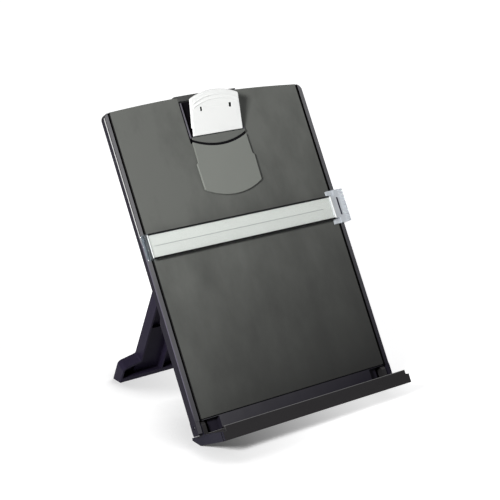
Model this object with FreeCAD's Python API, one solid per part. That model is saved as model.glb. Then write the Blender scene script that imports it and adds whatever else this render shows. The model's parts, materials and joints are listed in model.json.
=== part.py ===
# Desktop copy holder: a leaning board with a folding ledge, a folding back leg,
# a sliding line guide and a sprung paper clip.  Millimetres, +Z up, +Y to the back.
#
# Everything on the board is drawn in the board's own frame, in which the board stands
# upright: x across, y backwards from the face, z up the board from the panel's lower
# edge.  Board pieces are then leaned back.  The leg is drawn about its own hinge.
# The origin is on the desk, in the middle of the ledge's rubber sole pad.
import FreeCAD, Part
import math
import os

V = FreeCAD.Vector
ACROSS = V(1, 0, 0)

# ---------------------------------------------------------------- driving dimensions
LEAN = 30.0                  # board's lean back from upright, degrees
BOARD_HALF_W = 119.8         # half the width over the rails
PANEL_TOP = 310.7            # top of the board at the middle of its arch
ARCH_R = 1385.0              # radius of that arch
CORNER_R = 7.0               # rounded top corners
BOARD_T = 7.0                # depth of the rails, face to back
FOOT_T = 10.6                # depth of the board near its foot
PANEL_T = 2.6                # front panel
WEB_T = 2.0                  # web behind the panel
WALL = 2.0                   # general wall of the mouldings
EDGE_R = 0.8                 # rounded outer edges
EDGE_CUT = 0.6               # chamfered outer edges that run round a corner
RAIL_W = 5.6                 # side rails, outside of the grooves
GROOVE_W = 1.4               # groove between rail and panel
SEAM = 0.9                   # seam under the panel
RIB_T = 1.4                  # ribs on the hidden sides
SEAT = 0.2                   # play between pieces that move on each other
GAP = 0.35                   # clearance between bodies

# hinge beam at the board's foot
FOLD_PIN_R = 1.6
FOLD_Y = 4.7                 # ledge hinge axis behind the face
FOLD_Z = -5.6                # and below the panel
NOSE_R = 8.0                 # rounded foot of the board, about that axis
CHEEK_T = 4.4
EAR_T = 5.0                  # ledge ears between the cheeks
EAR_R = 4.1
EAR_SKIN = 1.0               # closed inner side of each ear
EAR_PLAY = 1.4               # between each ear and its cheek
POCKET_W = 22.8              # pockets beside the ears
POCKET_WALL = 1.4
FLANGE_TOP = 104.0           # deep side flanges that guard the folded leg
FLANGE_W = 17.2
POCKET_TOP = 0.9             # lintel over the pockets
LATTICE_COLUMNS = 6          # recesses between the ribs on the back
LATTICE_ROWS = 8
LATTICE_BORDER = 6.0

# ledge
LEDGE_REACH = 31.0           # floor, from the board's face to the lip
LIP_T = 2.3
LIP_TOP = -11.4
LIP_BOTTOM = -25.2
LIP_STEP = 4.0               # upper part of the lip is shorter by this at each end
FLOOR_DROP = 1.9             # fall of the floor towards the lip
SOLE_W = 13.8                # flat sole on the desk
SOLE_FRONT_Y = 13.1
SOLE_FRONT_Z = -23.1
LEDGE_CELLS = 9              # hollow cells under the floor
TONGUE = 1.2                 # tongue of the lip in the tray's front groove
END_NOTCH = 1.4              # notch in each end of the tray, behind the lip
PAD_T = 1.2
PAD_PROUD = 0.4
PAD_W = 8.0
SOLE_PAD_IN = 30.0           # sole pad, in from each end of the ledge

# back leg
LEG_LEAN = 24.8              # lean of the open leg from upright, degrees
LEG_HINGE_Y = 17.8
LEG_HINGE_Z = 174.4
LEG_T = 13.2
LEG_KNUCKLE_R = 3.4
LEG_PIN_R = 1.6
LEG_SIDE_GAP = 2.6           # folded foot, in from the flanges
SHOULDER_W = 19.5            # foot stands out past the neck by this
FOOT_CORNER_R = 5.5
SHOULDER_DROP = 5.8
SHOULDER_H = 26.0            # shoulder where the neck starts, above the front sole edge
LEG_WALL = 2.2
LEG_SOLE_WALL = 5.0          # bottom of the foot, up from the desk
LEG_CELL_W = 25.0            # between the leg's ribs
LEG_WEB_STEP = 64.0          # the web is thicker below this height
LEG_WEB_EXTRA = 4.0
LUG_IN_FROM_NECK = 8.5
LUG_W = 7.0                  # bracket lugs; the leg's knuckles fill the space between
KNUCKLE_W = 30.0
BRACKET_HALF_H = 14.0
BRACKET_T = 1.6
BRACKET_CORNER_R = 4.0
SCREW_IN = 12.0              # screws, in from the outer lugs
SCREW_DZ = 9.5
SCREW_R = 1.2
SCREW_HEAD_R = 2.4
BOSS_R = 3.2
LEG_TOP_DROP = 5.0           # top wall of the leg below its hinge
FOOT_PAD_L = 26.0
FOOT_PAD_FROM_END = 22.0
FOOT_PAD_IN = 3.2            # pad behind the front sole edge

# line guide
GUIDE_Z = 169.5              # middle of the bar, at rest
GUIDE_H = 23.8
GUIDE_OVER = 0.6             # bar passes the panel's left edge by this
GUIDE_SHORT = 6.0            # and stops short of its right edge
GUIDE_LIFT = 3.0             # underside of the bar, in front of the panel
STRIP_T = 0.9
COVER_T = 0.9
COVER_SIDE = 0.7
TOE_T = 0.7
TOE_REACH = 2.1
TOE_HALF_H = 9.0
LIP_PANEL = 1.3              # panel edge that the toes hook behind
UNDERCUT_W = 2.6
RUNNER_ON_RAIL = 3.1         # left runner's lap on the rail
RUNNER_IN = 9.4              # runner under the end of the bar
RAIL_HOOK = 1.7              # thin skin that laps over the left rail
RAIL_HOOK_T = 0.8
GRIP_BEYOND = 6.6            # finger grip past the board's edge
GRIP_HALF_H = 17.6
GRIP_EAR_H = 5.2
GRIP_EAR_W = 6.6
GRIP_DEPTH = 4.6
GRIP_RIBS = 11
GRIP_RIB_R = 0.45
LEAF_T = 0.4
LEAF_HALF_H = 9.0
LEAF_FROM_EDGE = 3.6
LEAF_W = 1.4

# clip
PIVOT_DROP = 38.7            # clip pivot below the top of the board, on the plane of its face
CLIP_PIN_R = 1.1
CLIP_KNUCKLE_R = 2.0
CLIP_WINDOW_HALF = 33.4
CLIP_WINDOW_DROP = 10.0      # window's lower edge below the pivot
BASE_WALL = 1.6
BASE_FLOOR = 1.0
BASE_PROUD = 1.5
HOOK_HALF_W = 37.0
HOOK_T = 1.0
HOOK_BACK = 24.0
HOOK_LIP = 0.8
RIVET_X = 16.0
RIVET_RISE = 22.0            # rivets above the pivot
RIVET_R = 1.5
RIVET_HEAD_R = 2.8
RIVET_HEAD_T = 0.8
RIVET_PAD = 10.0             # square pad round each rivet on the board's web
CLIP_WALL_TOP = 11.0         # housing walls end this far above the rivets
CLIP_SLOT = 3.2              # half height of the slots for knuckles and springs
LUG_IN = 21.0                # pivot lugs of the clip base
LUG_OUT = 24.0
CLIP_EAR_IN = 17.0           # knuckles of the rocker
LEVER_TILT = 19.4
LEVER_DROP = 4.0             # lower edge of the press plate below the pivot
LEVER_OUT = 3.4              # its face in front of the board there
LEVER_HALF_W = 29.9
LEVER_TOP_HALF_W = 28.5
LEVER_SIDE = 37.0
LEVER_MID = 43.5
CAP_T = 1.3
ARM_T = 0.9
JAW_LIFT = 0.9               # underside of the jaw arm, in front of the panel
JAW_COVER_T = 0.8
BRIDGE_T = 1.5
BRIDGE_GAP = 0.7             # shadow gap under the press plate
JAW_REACH = 67.8             # tip of the jaw below the pivot
JAW_BOW = 9.2                # height of its curved lower edge
JAW_HALF_W = 34.2
JAW_KINK_DROP = 31.0         # step in the jaw's sides, below the pivot
JAW_STEP = 1.6
JAW_RIM = 1.1                # rim round the back of the jaw plate
JAW_NECK_HALF_W = 32.2
JAW_ARC_DROP = 14.0          # lower edge of the bridge at the middle, below the pivot
JAW_ARC_RISE = 7.2
JAW_ARC_GAP = 2.5
JAW_PAD_T = 0.6
CAP_SKIRT = 1.8
CAP_SKIRT_T = 1.0
CAP_CORNER_R = 2.0
CAP_WINDOWS = ((-17.6, 2.4), (17.3, 3.0))    # middle and width of the two windows
HOOK_DROP = 0.5              # rocker's hooks in the windows, below the cap's face
CAP_WINDOW_S = 25.8
CAP_WINDOW_H = 4.4
RIDGE_DROPS = (4.6, 8.6)     # grip ridges below the top edge of the cap
RIDGE_T = 0.9
RIDGE_PROUD = 0.5
CAP_LINE_S = 27.2            # scribed line between the windows
CAP_LINE = 0.4
GATE_S = 31.8                # gate mark of the moulding
GATE_R = 0.5
MARK_DEPTH = 0.2
SPRING_X = 12.0
SPRING_R = 1.7
SPRING_LEG = 13.0
SPRING_WIRE_R = 0.4
SPRING_COIL = 4.8            # length of the coil

# ---------------------------------------------------------------- worked-out sizes
PANEL_HALF = BOARD_HALF_W - RAIL_W - GROOVE_W
RAIL_IN = BOARD_HALF_W - RAIL_W
FLANGE_IN = BOARD_HALF_W - FLANGE_W
WEB_BACK = PANEL_T + WEB_T
BEAM_BOTTOM = FOLD_Z - NOSE_R
FLOOR_TOP = BEAM_BOTTOM - GAP
CHEEK_IN = BOARD_HALF_W - CHEEK_T
EAR_OUT = CHEEK_IN - EAR_PLAY
EAR_IN = EAR_OUT - EAR_T
LEDGE_HALF_W = EAR_OUT
POCKET_IN = CHEEK_IN - POCKET_W
SOLE_PAD_HALF = LEDGE_HALF_W - SOLE_PAD_IN
FLOOR_FRONT = FLOOR_TOP - FLOOR_DROP
SOLE_BACK_Y = SOLE_FRONT_Y + SOLE_W * math.cos(math.radians(LEAN))
SOLE_BACK_Z = SOLE_FRONT_Z + SOLE_W * math.sin(math.radians(LEAN))
BAR_FRONT = GUIDE_LIFT + STRIP_T + COVER_T
GUIDE_LEFT = -PANEL_HALF - GUIDE_OVER
GUIDE_RIGHT = PANEL_HALF - GUIDE_SHORT
RUNNER_LEFT = -RAIL_IN - RUNNER_ON_RAIL
GRIP_IN = BOARD_HALF_W + GAP
GRIP_OUT = BOARD_HALF_W + GRIP_BEYOND
LEAF_X = BOARD_HALF_W - LEAF_FROM_EDGE
WINDOW_IN = CLIP_WINDOW_HALF - SEAT
PIVOT_Z = PANEL_TOP - PIVOT_DROP
CLIP_WINDOW_Z = PIVOT_Z - CLIP_WINDOW_DROP
RIVET_Z = PIVOT_Z + RIVET_RISE
LEVER_Z = PIVOT_Z - LEVER_DROP
JAW_BOTTOM = PIVOT_Z - JAW_REACH
JAW_CORNER_Z = JAW_BOTTOM + JAW_BOW
JAW_KINK_Z = PIVOT_Z - JAW_KINK_DROP
JAW_ARC_Z = PIVOT_Z - JAW_ARC_DROP
LEG_REAR = LEG_KNUCKLE_R
LEG_FRONT = LEG_REAR - LEG_T
FOOT_HALF_W = FLANGE_IN - LEG_SIDE_GAP
NECK_HALF_W = FOOT_HALF_W - SHOULDER_W
LUG_PITCH = NECK_HALF_W - LUG_IN_FROM_NECK
LUG_X = [LUG_PITCH * place for place in (-1, 0, 1)]
SCREW_X = LUG_X[-1] - SCREW_IN
LEG_RIB_X = [LEG_CELL_W * place for place in (-2, -1, 0, 1, 2)]
FOOT_PAD_X = FOOT_HALF_W - FOOT_PAD_FROM_END
ARM_FRONT = JAW_LIFT + ARM_T
JAW_FRONT = ARM_FRONT + JAW_COVER_T
JAW_RIM_BACK = JAW_LIFT - JAW_PAD_T + SEAT
SPRING_IN = SPRING_X - SPRING_COIL / 2 - 3 * SPRING_WIRE_R


def sin_d(angle):
    return math.sin(math.radians(angle))


def cos_d(angle):
    return math.cos(math.radians(angle))


def tan_d(angle):
    return math.tan(math.radians(angle))


def arch_z(x):
    """Height of the board's arched top edge at x."""
    return PANEL_TOP - ARCH_R + math.sqrt(ARCH_R ** 2 - x ** 2)


# ---------------------------------------------------------------- drawing helpers
def box(x0, x1, y0, y1, z0, z1):
    """Block between two corners."""
    return Part.makeBox(x1 - x0, y1 - y0, z1 - z0, V(x0, y0, z0))


def rod(radius, x0, x1, y, z):
    """Cylinder that runs across the holder."""
    return Part.makeCylinder(radius, x1 - x0, V(x0, y, z), ACROSS)


def bar(points, x0, x1):
    """Straight bar across the holder from its (y, z) section."""
    wire = Part.makePolygon([V(x0, y, z) for y, z in points + points[:1]])
    return Part.Face(wire).extrude(V(x1 - x0, 0, 0))


def plate(edges, y0, y1):
    """Plate parallel to the board's face from its outline edges, drawn at y = 0."""
    face = Part.Face(Part.Wire(edges))
    face.translate(V(0, y0, 0))
    return face.extrude(V(0, y1 - y0, 0))


def outline(points):
    """Straight edges through the (x, z) points of an open outline."""
    pairs = zip(points[:-1], points[1:])
    return [Part.LineSegment(V(a[0], 0, a[1]), V(b[0], 0, b[1])).toShape() for a, b in pairs]


def arc(start, middle, end):
    """Arc through three (x, z) points."""
    return Part.Arc(V(start[0], 0, start[1]), V(middle[0], 0, middle[1]), V(end[0], 0, end[1])).toShape()


def arched(half_w, bottom, drop, y0, y1):
    """Plate with the board's arched top edge, lowered by drop."""
    corner = (half_w, arch_z(half_w) - drop)
    left_corner = (-half_w, corner[1])
    edges = outline([left_corner, (-half_w, bottom), (half_w, bottom), corner])
    edges.append(arc(corner, (0, PANEL_TOP - drop), left_corner))
    return plate(edges, y0, y1)


def fuse(shapes):
    """One solid from several that touch or overlap."""
    solid = shapes[0].multiFuse(shapes[1:]) if len(shapes) > 1 else shapes[0]
    return solid.removeSplitter()


def mirrored(shape):
    """Mirror image across the middle of the holder."""
    return shape.mirror(V(0, 0, 0), ACROSS)


def both_sides(shape):
    """A piece and its mirror image."""
    return [shape, mirrored(shape)]


def without(shape, cuts):
    """The shape with a list of others cut away."""
    return shape.cut(Part.makeCompound(cuts))


def edges_where(shape, test):
    """Straight and curved edges whose ends and middle all pass the test."""
    found = []
    for edge in shape.Edges:
        middle = edge.valueAt((edge.FirstParameter + edge.LastParameter) / 2)
        if all(test(point) for point in [v.Point for v in edge.Vertexes] + [middle]):
            found.append(edge)
    return found


# ---------------------------------------------------------------- places and frames
def place_board(shape):
    """Lean a board piece back and set it on the desk."""
    sole = V(0, (SOLE_FRONT_Y + SOLE_BACK_Y) / 2, (SOLE_FRONT_Z + SOLE_BACK_Z) / 2)
    turn = FreeCAD.Rotation(ACROSS, -LEAN)
    base = V(0, 0, PAD_PROUD) - turn.multVec(sole)
    return moved(shape, FreeCAD.Placement(base, turn))


def moved(shape, placement):
    """Copy of the shape taken through a placement."""
    copy = shape.copy()
    copy.Placement = placement.multiply(copy.Placement)
    return copy


def board_point(y, z):
    """Point of the board's section (y, z) once the board leans on the desk."""
    return place_board(Part.Vertex(0, y, z)).Point


def place_leg(shape):
    """Turn a leg piece to its open angle about its hinge on the board."""
    hinge = board_point(LEG_HINGE_Y, LEG_HINGE_Z)
    return moved(shape, FreeCAD.Placement(hinge, FreeCAD.Rotation(ACROSS, LEG_LEAN)))


def place_lever(shape):
    """Tilt a lever piece, drawn upright with its outer face at y = 0, on the board."""
    base = V(0, -LEVER_OUT, LEVER_Z)
    return moved(shape, FreeCAD.Placement(base, FreeCAD.Rotation(ACROSS, LEVER_TILT)))


def rivet_places():
    """Centres (x, z) of the clip's rivets."""
    return [(-RIVET_X, RIVET_Z), (RIVET_X, RIVET_Z)]


def screw_places():
    """Centres (x, z) of the screws of the leg's hinge bracket."""
    return [(x, LEG_HINGE_Z + dz) for x in (-SCREW_X, SCREW_X) for dz in (-SCREW_DZ, SCREW_DZ)]


# ---------------------------------------------------------------- board
def frame_blank():
    """Full outline of the board's frame with its rounded corners and chamfered edges."""
    blank = arched(BOARD_HALF_W, 0, 0, 0, BOARD_T)
    near_top = arch_z(BOARD_HALF_W) - 1
    corners = edges_where(blank, lambda p: p.z > near_top and abs(p.x) > BOARD_HALF_W - 1)
    blank = blank.makeFillet(CORNER_R, corners)
    rims = edges_where(blank, lambda p: p.z > 1 or abs(p.x) > BOARD_HALF_W - 1)
    rims = [edge for edge in rims if edge.BoundBox.YLength < 0.01]
    return blank.makeChamfer(EDGE_CUT, rims)


def hinge_beam():
    """Foot of the board, rounded about the ledge's hinge; its ends are as deep as the flanges."""
    middle = beam_section(BOARD_T, BOARD_HALF_W)
    ends = beam_section(FOOT_T, BOARD_HALF_W).cut(box(-FLANGE_IN, FLANGE_IN, -1, FOOT_T + 1, BEAM_BOTTOM - 1, 1))
    return fuse([middle, ends])


def beam_section(depth, half_w):
    """Bar with the foot's section at the given depth."""
    nose_start = FOLD_Z - math.sqrt(NOSE_R ** 2 - FOLD_Y ** 2)
    nose_mid = V(0, FOLD_Y - NOSE_R * sin_d(20), FOLD_Z - NOSE_R * cos_d(20))
    corners = [V(0, 0, nose_start), V(0, 0, 0), V(0, depth, 0), V(0, depth, BEAM_BOTTOM + 1),
               V(0, depth - 1, BEAM_BOTTOM), V(0, FOLD_Y, BEAM_BOTTOM)]
    edges = [Part.LineSegment(a, b).toShape() for a, b in zip(corners[:-1], corners[1:])]
    edges.append(Part.Arc(corners[-1], nose_mid, corners[0]).toShape())
    beam = Part.Face(Part.Wire(edges)).extrude(V(2 * half_w, 0, 0))
    beam.translate(V(-half_w, 0, 0))
    return beam


def side_flange():
    """Deep flange beside the folded leg, with a ramp at its upper end."""
    rise = FOOT_T - BOARD_T
    section = [(BOARD_T - 1, 0), (FOOT_T, 0), (FOOT_T, FLANGE_TOP - 2 * rise), (BOARD_T - 1, FLANGE_TOP)]
    flange = bar(section, FLANGE_IN, BOARD_HALF_W)
    outer = edges_where(flange, lambda p: p.x > BOARD_HALF_W - 0.1 and p.y > FOOT_T - 0.1)
    return flange.makeFillet(EDGE_R, outer)


def rear_recesses():
    """Recesses that leave ribs and a border on the back of the board."""
    left = -(RAIL_IN - LATTICE_BORDER / 2)
    pitch_x = -2 * left / LATTICE_COLUMNS
    bottom = LATTICE_BORDER / 2
    pitch_z = (arch_z(BOARD_HALF_W) - LATTICE_BORDER - bottom) / LATTICE_ROWS
    cells = []
    for column in range(LATTICE_COLUMNS):
        for row in range(LATTICE_ROWS):
            x0 = left + column * pitch_x
            z0 = bottom + row * pitch_z
            cells.append(box(x0 + RIB_T / 2, x0 + pitch_x - RIB_T / 2, WEB_BACK, BOARD_T + 1,
                             z0 + RIB_T / 2, z0 + pitch_z - RIB_T / 2))
    return cells


def board_frame():
    """Main moulding: web, rails, ribbed back, hinge beam with pockets and cheeks."""
    body = fuse([frame_blank(), hinge_beam()] + both_sides(side_flange()))
    cuts = rear_recesses()
    cuts.append(box(-RAIL_IN, RAIL_IN, -1, PANEL_T, -SEAM / 2, PANEL_TOP + 1))
    for inner, depth in ((POCKET_IN, BOARD_T), (FLANGE_IN + POCKET_WALL, FOOT_T)):
        cuts += both_sides(box(inner, CHEEK_IN, -1, depth - POCKET_WALL, BEAM_BOTTOM - 1, -POCKET_TOP))
    cuts += both_sides(box(RAIL_IN - 1, BOARD_HALF_W + 1, -1, SEAM / 2, -SEAM, -SEAM / 2))
    cuts += both_sides(rod(FOLD_PIN_R + 0.02, CHEEK_IN - 1, BOARD_HALF_W + 1, FOLD_Y, FOLD_Z))
    bracket_hole = bracket_blank(SEAT)
    cuts.append(bracket_hole)
    body = without(body, cuts)
    half = RIVET_PAD / 2
    pads = [box(x - half, x + half, WEB_BACK - 0.5, BOARD_T, z - half, z + half) for x, z in rivet_places()]
    bosses = [Part.makeCylinder(BOSS_R, BOARD_T - BRACKET_T - PANEL_T, V(x, PANEL_T, z), V(0, 1, 0))
              for x, z in screw_places()]
    body = fuse([body] + pads + bosses)
    holes = [Part.makeCylinder(RIVET_R, BOARD_T + 2, V(x, -1, z), V(0, 1, 0)) for x, z in rivet_places()]
    holes += [Part.makeCylinder(SCREW_R, BOARD_T, V(x, PANEL_T + 0.6, z), V(0, 1, 0)) for x, z in screw_places()]
    return without(body, holes)


def front_panel():
    """Face sheet with undercut side edges and the clip's window."""
    panel = arched(PANEL_HALF, SEAM / 2, 0, 0, PANEL_T)
    window = box(-CLIP_WINDOW_HALF, CLIP_WINDOW_HALF, -1, PANEL_T + 1, CLIP_WINDOW_Z, PANEL_TOP + 1)
    undercut = box(PANEL_HALF - UNDERCUT_W, PANEL_HALF + 1, LIP_PANEL, PANEL_T + 1, -1, PANEL_TOP + 1)
    panel = without(panel, [window] + both_sides(undercut))
    sides = edges_where(panel, lambda p: p.y < 0.01 and abs(p.x) > PANEL_HALF - 0.1)
    return panel.makeChamfer(0.3, sides)


# ---------------------------------------------------------------- back leg's hinge
def bracket_blank(play):
    """Plate of the hinge bracket, larger by the play all round."""
    half_w = LUG_X[-1] + LUG_W / 2 + 2 + play
    half_h = BRACKET_HALF_H + play
    blank = box(-half_w, half_w, BOARD_T - BRACKET_T, BOARD_T + play, LEG_HINGE_Z - half_h, LEG_HINGE_Z + half_h)
    corners = [edge for edge in blank.Edges if edge.BoundBox.YLength > BRACKET_T - 0.1]
    return blank.makeFillet(BRACKET_CORNER_R, corners)


def leg_hinge_bracket():
    """Bracket on the board's back with the lugs of the leg's hinge."""
    shapes = [bracket_blank(0)]
    for x in LUG_X:
        section = [(BOARD_T - 0.5, LEG_HINGE_Z - LEG_KNUCKLE_R), (LEG_HINGE_Y, LEG_HINGE_Z - LEG_KNUCKLE_R),
                   (LEG_HINGE_Y, LEG_HINGE_Z + LEG_KNUCKLE_R), (BOARD_T - 0.5, LEG_HINGE_Z + 2 * LEG_KNUCKLE_R)]
        shapes.append(bar(section, x - LUG_W / 2, x + LUG_W / 2))
        shapes.append(rod(LEG_KNUCKLE_R, x - LUG_W / 2, x + LUG_W / 2, LEG_HINGE_Y, LEG_HINGE_Z))
    holes = [rod(LEG_PIN_R + 0.02, LUG_X[0] - LUG_W, LUG_X[-1] + LUG_W, LEG_HINGE_Y, LEG_HINGE_Z)]
    for x, z in screw_places():
        holes.append(Part.makeCylinder(SCREW_R + SEAT, BRACKET_T + 2, V(x, BOARD_T - BRACKET_T - 1, z), V(0, 1, 0)))
        holes.append(screw_head(x, z, SEAT / 2, 1))
    return without(fuse(shapes), holes)


def screw_head(x, z, play, rise):
    """Head of a bracket screw sunk into the plate, or its counterbore."""
    depth = BRACKET_T / 2
    return Part.makeCylinder(SCREW_HEAD_R + play, depth + rise, V(x, BOARD_T - depth, z), V(0, 1, 0))


def bracket_screws():
    """Sunk screws of the hinge bracket."""
    screws = []
    for x, z in screw_places():
        shank = Part.makeCylinder(SCREW_R - 0.02, BOARD_T - PANEL_T - 1, V(x, PANEL_T + 0.7, z), V(0, 1, 0))
        slot = box(x - SCREW_HEAD_R, x + SCREW_HEAD_R, BOARD_T - BRACKET_T / 4, BOARD_T + 1, z - 0.3, z + 0.3)
        screws.append(fuse([shank, screw_head(x, z, 0, 0)]).cut(slot))
    return Part.makeCompound(screws)


def leg_hinge_pin():
    """Steel rod through the lugs and the leg's knuckles."""
    end = LUG_X[-1] + LUG_W / 2 + 1
    return rod(LEG_PIN_R, -end, end, LEG_HINGE_Y, LEG_HINGE_Z)


def ledge_pin():
    """Right-hand pin of the ledge's hinge, pressed into the cheek."""
    return rod(FOLD_PIN_R, EAR_IN + EAR_SKIN + SEAT, BOARD_HALF_W - EDGE_R, FOLD_Y, FOLD_Z)


# ---------------------------------------------------------------- ledge
def tray_section(inset):
    """Section (y, z) of the tray, or of its hollow at a wall's inset."""
    if inset:
        return [(-LEDGE_REACH + inset, LIP_BOTTOM - 5), (SOLE_FRONT_Y - inset, LIP_BOTTOM - 5),
                (SOLE_FRONT_Y - inset, FLOOR_TOP - inset), (0, FLOOR_TOP - inset),
                (-LEDGE_REACH + inset, FLOOR_FRONT - inset)]
    return [(-LEDGE_REACH, LIP_BOTTOM), (SOLE_FRONT_Y, SOLE_FRONT_Z), (SOLE_BACK_Y, SOLE_BACK_Z),
            (SOLE_BACK_Y - 1.1, FLOOR_TOP), (0, FLOOR_TOP), (-LEDGE_REACH, FLOOR_FRONT)]


def ledge_ear():
    """Right-hand ear that carries the ledge on its pin."""
    web = box(EAR_IN, EAR_OUT, FOLD_Y - EAR_R, FOLD_Y + EAR_R, FLOOR_TOP - 1, FOLD_Z)
    return fuse([web, rod(EAR_R, EAR_IN, EAR_OUT, FOLD_Y, FOLD_Z)])


def ledge_tray():
    """Floor, end walls, heel and ears of the ledge, ribbed underneath."""
    tray = bar(tray_section(0), -LEDGE_HALF_W, LEDGE_HALF_W)
    pitch = (2 * LEDGE_HALF_W - WALL) / LEDGE_CELLS
    cuts = []
    for cell in range(LEDGE_CELLS):
        x0 = -LEDGE_HALF_W + WALL / 2 + cell * pitch
        cuts.append(bar(tray_section(WALL), x0 + WALL / 2, x0 + pitch - WALL / 2))
    cuts += both_sides(box(LEDGE_HALF_W - END_NOTCH, LEDGE_HALF_W + 1, -LEDGE_REACH - 1, -LEDGE_REACH + END_NOTCH,
                           LIP_BOTTOM - 1, FLOOR_TOP + 1))
    cuts.append(tongue(SEAT / 2))
    tray = fuse([without(tray, cuts)] + both_sides(ledge_ear()))
    holes = both_sides(rod(FOLD_PIN_R + 0.05, EAR_IN + EAR_SKIN, EAR_OUT + 1, FOLD_Y, FOLD_Z))
    return without(tray, holes)


def tongue(play):
    """Tongue along the back of the lip, or its groove."""
    middle = (FLOOR_FRONT + LIP_BOTTOM) / 2
    return box(-LEDGE_HALF_W + 6 - play, LEDGE_HALF_W - 6 + play, -LEDGE_REACH - 0.5, -LEDGE_REACH + TONGUE + play,
               middle - TONGUE / 2 - play, middle + TONGUE / 2 + play)


def ledge_lip():
    """Front bar of the ledge, its upper part stepped in at both ends."""
    front = -LEDGE_REACH - LIP_T
    lower = box(-LEDGE_HALF_W, LEDGE_HALF_W, front, -LEDGE_REACH, LIP_BOTTOM, FLOOR_FRONT - 0.3)
    upper = box(-LEDGE_HALF_W + LIP_STEP, LEDGE_HALF_W - LIP_STEP, front, -LEDGE_REACH, FLOOR_FRONT - 1, LIP_TOP)
    lip = fuse([lower, upper])
    rims = edges_where(lip, lambda p: p.y < front + 0.01)
    top = edges_where(lip, lambda p: p.z > LIP_TOP - 0.01 and p.y > -LEDGE_REACH - 0.01)
    lip = lip.makeFillet(0.6, rims + top)
    return fuse([lip, tongue(0)])


def sole_pad_room(play):
    """Block of the sole pad on the desk, in the leaned frame's own place."""
    return box(-SOLE_PAD_HALF - play, SOLE_PAD_HALF + play, -PAD_W / 2 - play, PAD_W / 2 + play, 0, PAD_T)


# ---------------------------------------------------------------- back leg
def leg_height(y):
    """Height, in the leg's frame, at which depth y meets the sole's plane."""
    hinge = board_point(LEG_HINGE_Y, LEG_HINGE_Z)
    return (PAD_PROUD - hinge.z - y * sin_d(LEG_LEAN)) / cos_d(LEG_LEAN)


def leg_outline(y0, y1, inset):
    """Neck and wide foot of the leg, or its hollow at a wall's inset."""
    sole = leg_height(LEG_FRONT)
    neck = NECK_HALF_W - inset
    foot = FOOT_HALF_W - inset
    top = -LEG_TOP_DROP - inset
    shoulder = sole + SHOULDER_H - inset
    outer = shoulder - SHOULDER_DROP
    right = [(neck, top), (neck, shoulder), (foot, outer), (foot, sole - LEG_T)]
    left = [(-x, z) for x, z in reversed(right)]
    slab = plate(outline(right + left + right[:1]), y0, y1)
    corners = edges_where(slab, lambda p: abs(abs(p.x) - foot) < 0.01 and abs(p.z - outer) < 0.01)
    slab = slab.makeFillet(FOOT_CORNER_R - inset, corners)
    elbows = edges_where(slab, lambda p: abs(abs(p.x) - neck) < 0.01 and abs(p.z - shoulder) < 0.01)
    return slab.makeFillet(2.0 + inset, elbows)


def below_sole(inset):
    """Everything under the sole's plane, in the leg's frame, raised by a wall's inset."""
    rise = inset / cos_d(LEG_LEAN)
    far = LEG_T * 2
    low = leg_height(far) - LEG_T
    section = [(-far, leg_height(-far) + rise), (far, leg_height(far) + rise), (far, low), (-far, low)]
    return bar(section, -FOOT_HALF_W - 1, FOOT_HALF_W + 1)


def knuckle_places():
    """Middles of the leg's knuckles, between the bracket's lugs."""
    return [(a + b) / 2 for a, b in zip(LUG_X[:-1], LUG_X[1:])]


def leg_shell():
    """Open shell of the leg with ribs along it, a stepped web and hinge knuckles."""
    sole = leg_height(LEG_FRONT)
    shell = leg_outline(LEG_FRONT, LEG_REAR, 0).cut(below_sole(0))
    hollow = leg_outline(LEG_FRONT - 1, LEG_REAR - LEG_WALL, LEG_WALL).cut(below_sole(LEG_SOLE_WALL))
    step = box(-NECK_HALF_W, NECK_HALF_W, LEG_REAR - LEG_WALL - LEG_WEB_EXTRA, LEG_REAR, sole - LEG_T, sole + LEG_WEB_STEP)
    hollow = hollow.cut(step)
    ribs = []
    for x in LEG_RIB_X:
        ribs.append(box(x - RIB_T / 2, x + RIB_T / 2, LEG_FRONT, LEG_REAR, sole - LEG_T, -LEG_TOP_DROP))
    shell = shell.cut(without(hollow, ribs))
    sides = edges_where(shell, lambda p: p.y > LEG_REAR - 0.01 and abs(p.x) > LUG_X[-1] and p.z < -LEG_T)
    shell = shell.makeChamfer(EDGE_CUT, sides)
    links = []
    for x in knuckle_places():
        links.append(box(x - KNUCKLE_W / 2, x + KNUCKLE_W / 2, -LEG_KNUCKLE_R, LEG_REAR, -LEG_TOP_DROP - 1, 0))
        links.append(rod(LEG_KNUCKLE_R, x - KNUCKLE_W / 2, x + KNUCKLE_W / 2, 0, 0))
    bore = rod(LEG_PIN_R + 0.06, -NECK_HALF_W, NECK_HALF_W, 0, 0)
    return fuse([shell] + links).cut(bore)


def foot_pad_room(x, play):
    """Block of a foot pad on the desk, in its real place."""
    front = board_point(LEG_HINGE_Y, LEG_HINGE_Z).y + LEG_FRONT * cos_d(LEG_LEAN)
    front -= leg_height(LEG_FRONT) * sin_d(LEG_LEAN)
    front += FOOT_PAD_IN
    return box(x - FOOT_PAD_L / 2 - play, x + FOOT_PAD_L / 2 + play, front - play, front + PAD_W + play, 0, PAD_T)


# ---------------------------------------------------------------- line guide
def guide_strip():
    """Pale bar of the guide with a shallow line along its middle."""
    strip = box(GUIDE_LEFT, GUIDE_RIGHT, -GUIDE_LIFT - STRIP_T, -GUIDE_LIFT, GUIDE_Z - GUIDE_H / 2, GUIDE_Z + GUIDE_H / 2)
    line = box(GUIDE_LEFT + 6, GUIDE_RIGHT - 6, -GUIDE_LIFT - STRIP_T - 1, -GUIDE_LIFT - STRIP_T + 0.2,
               GUIDE_Z - 0.25, GUIDE_Z + 0.25)
    return strip.cut(line)


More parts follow.
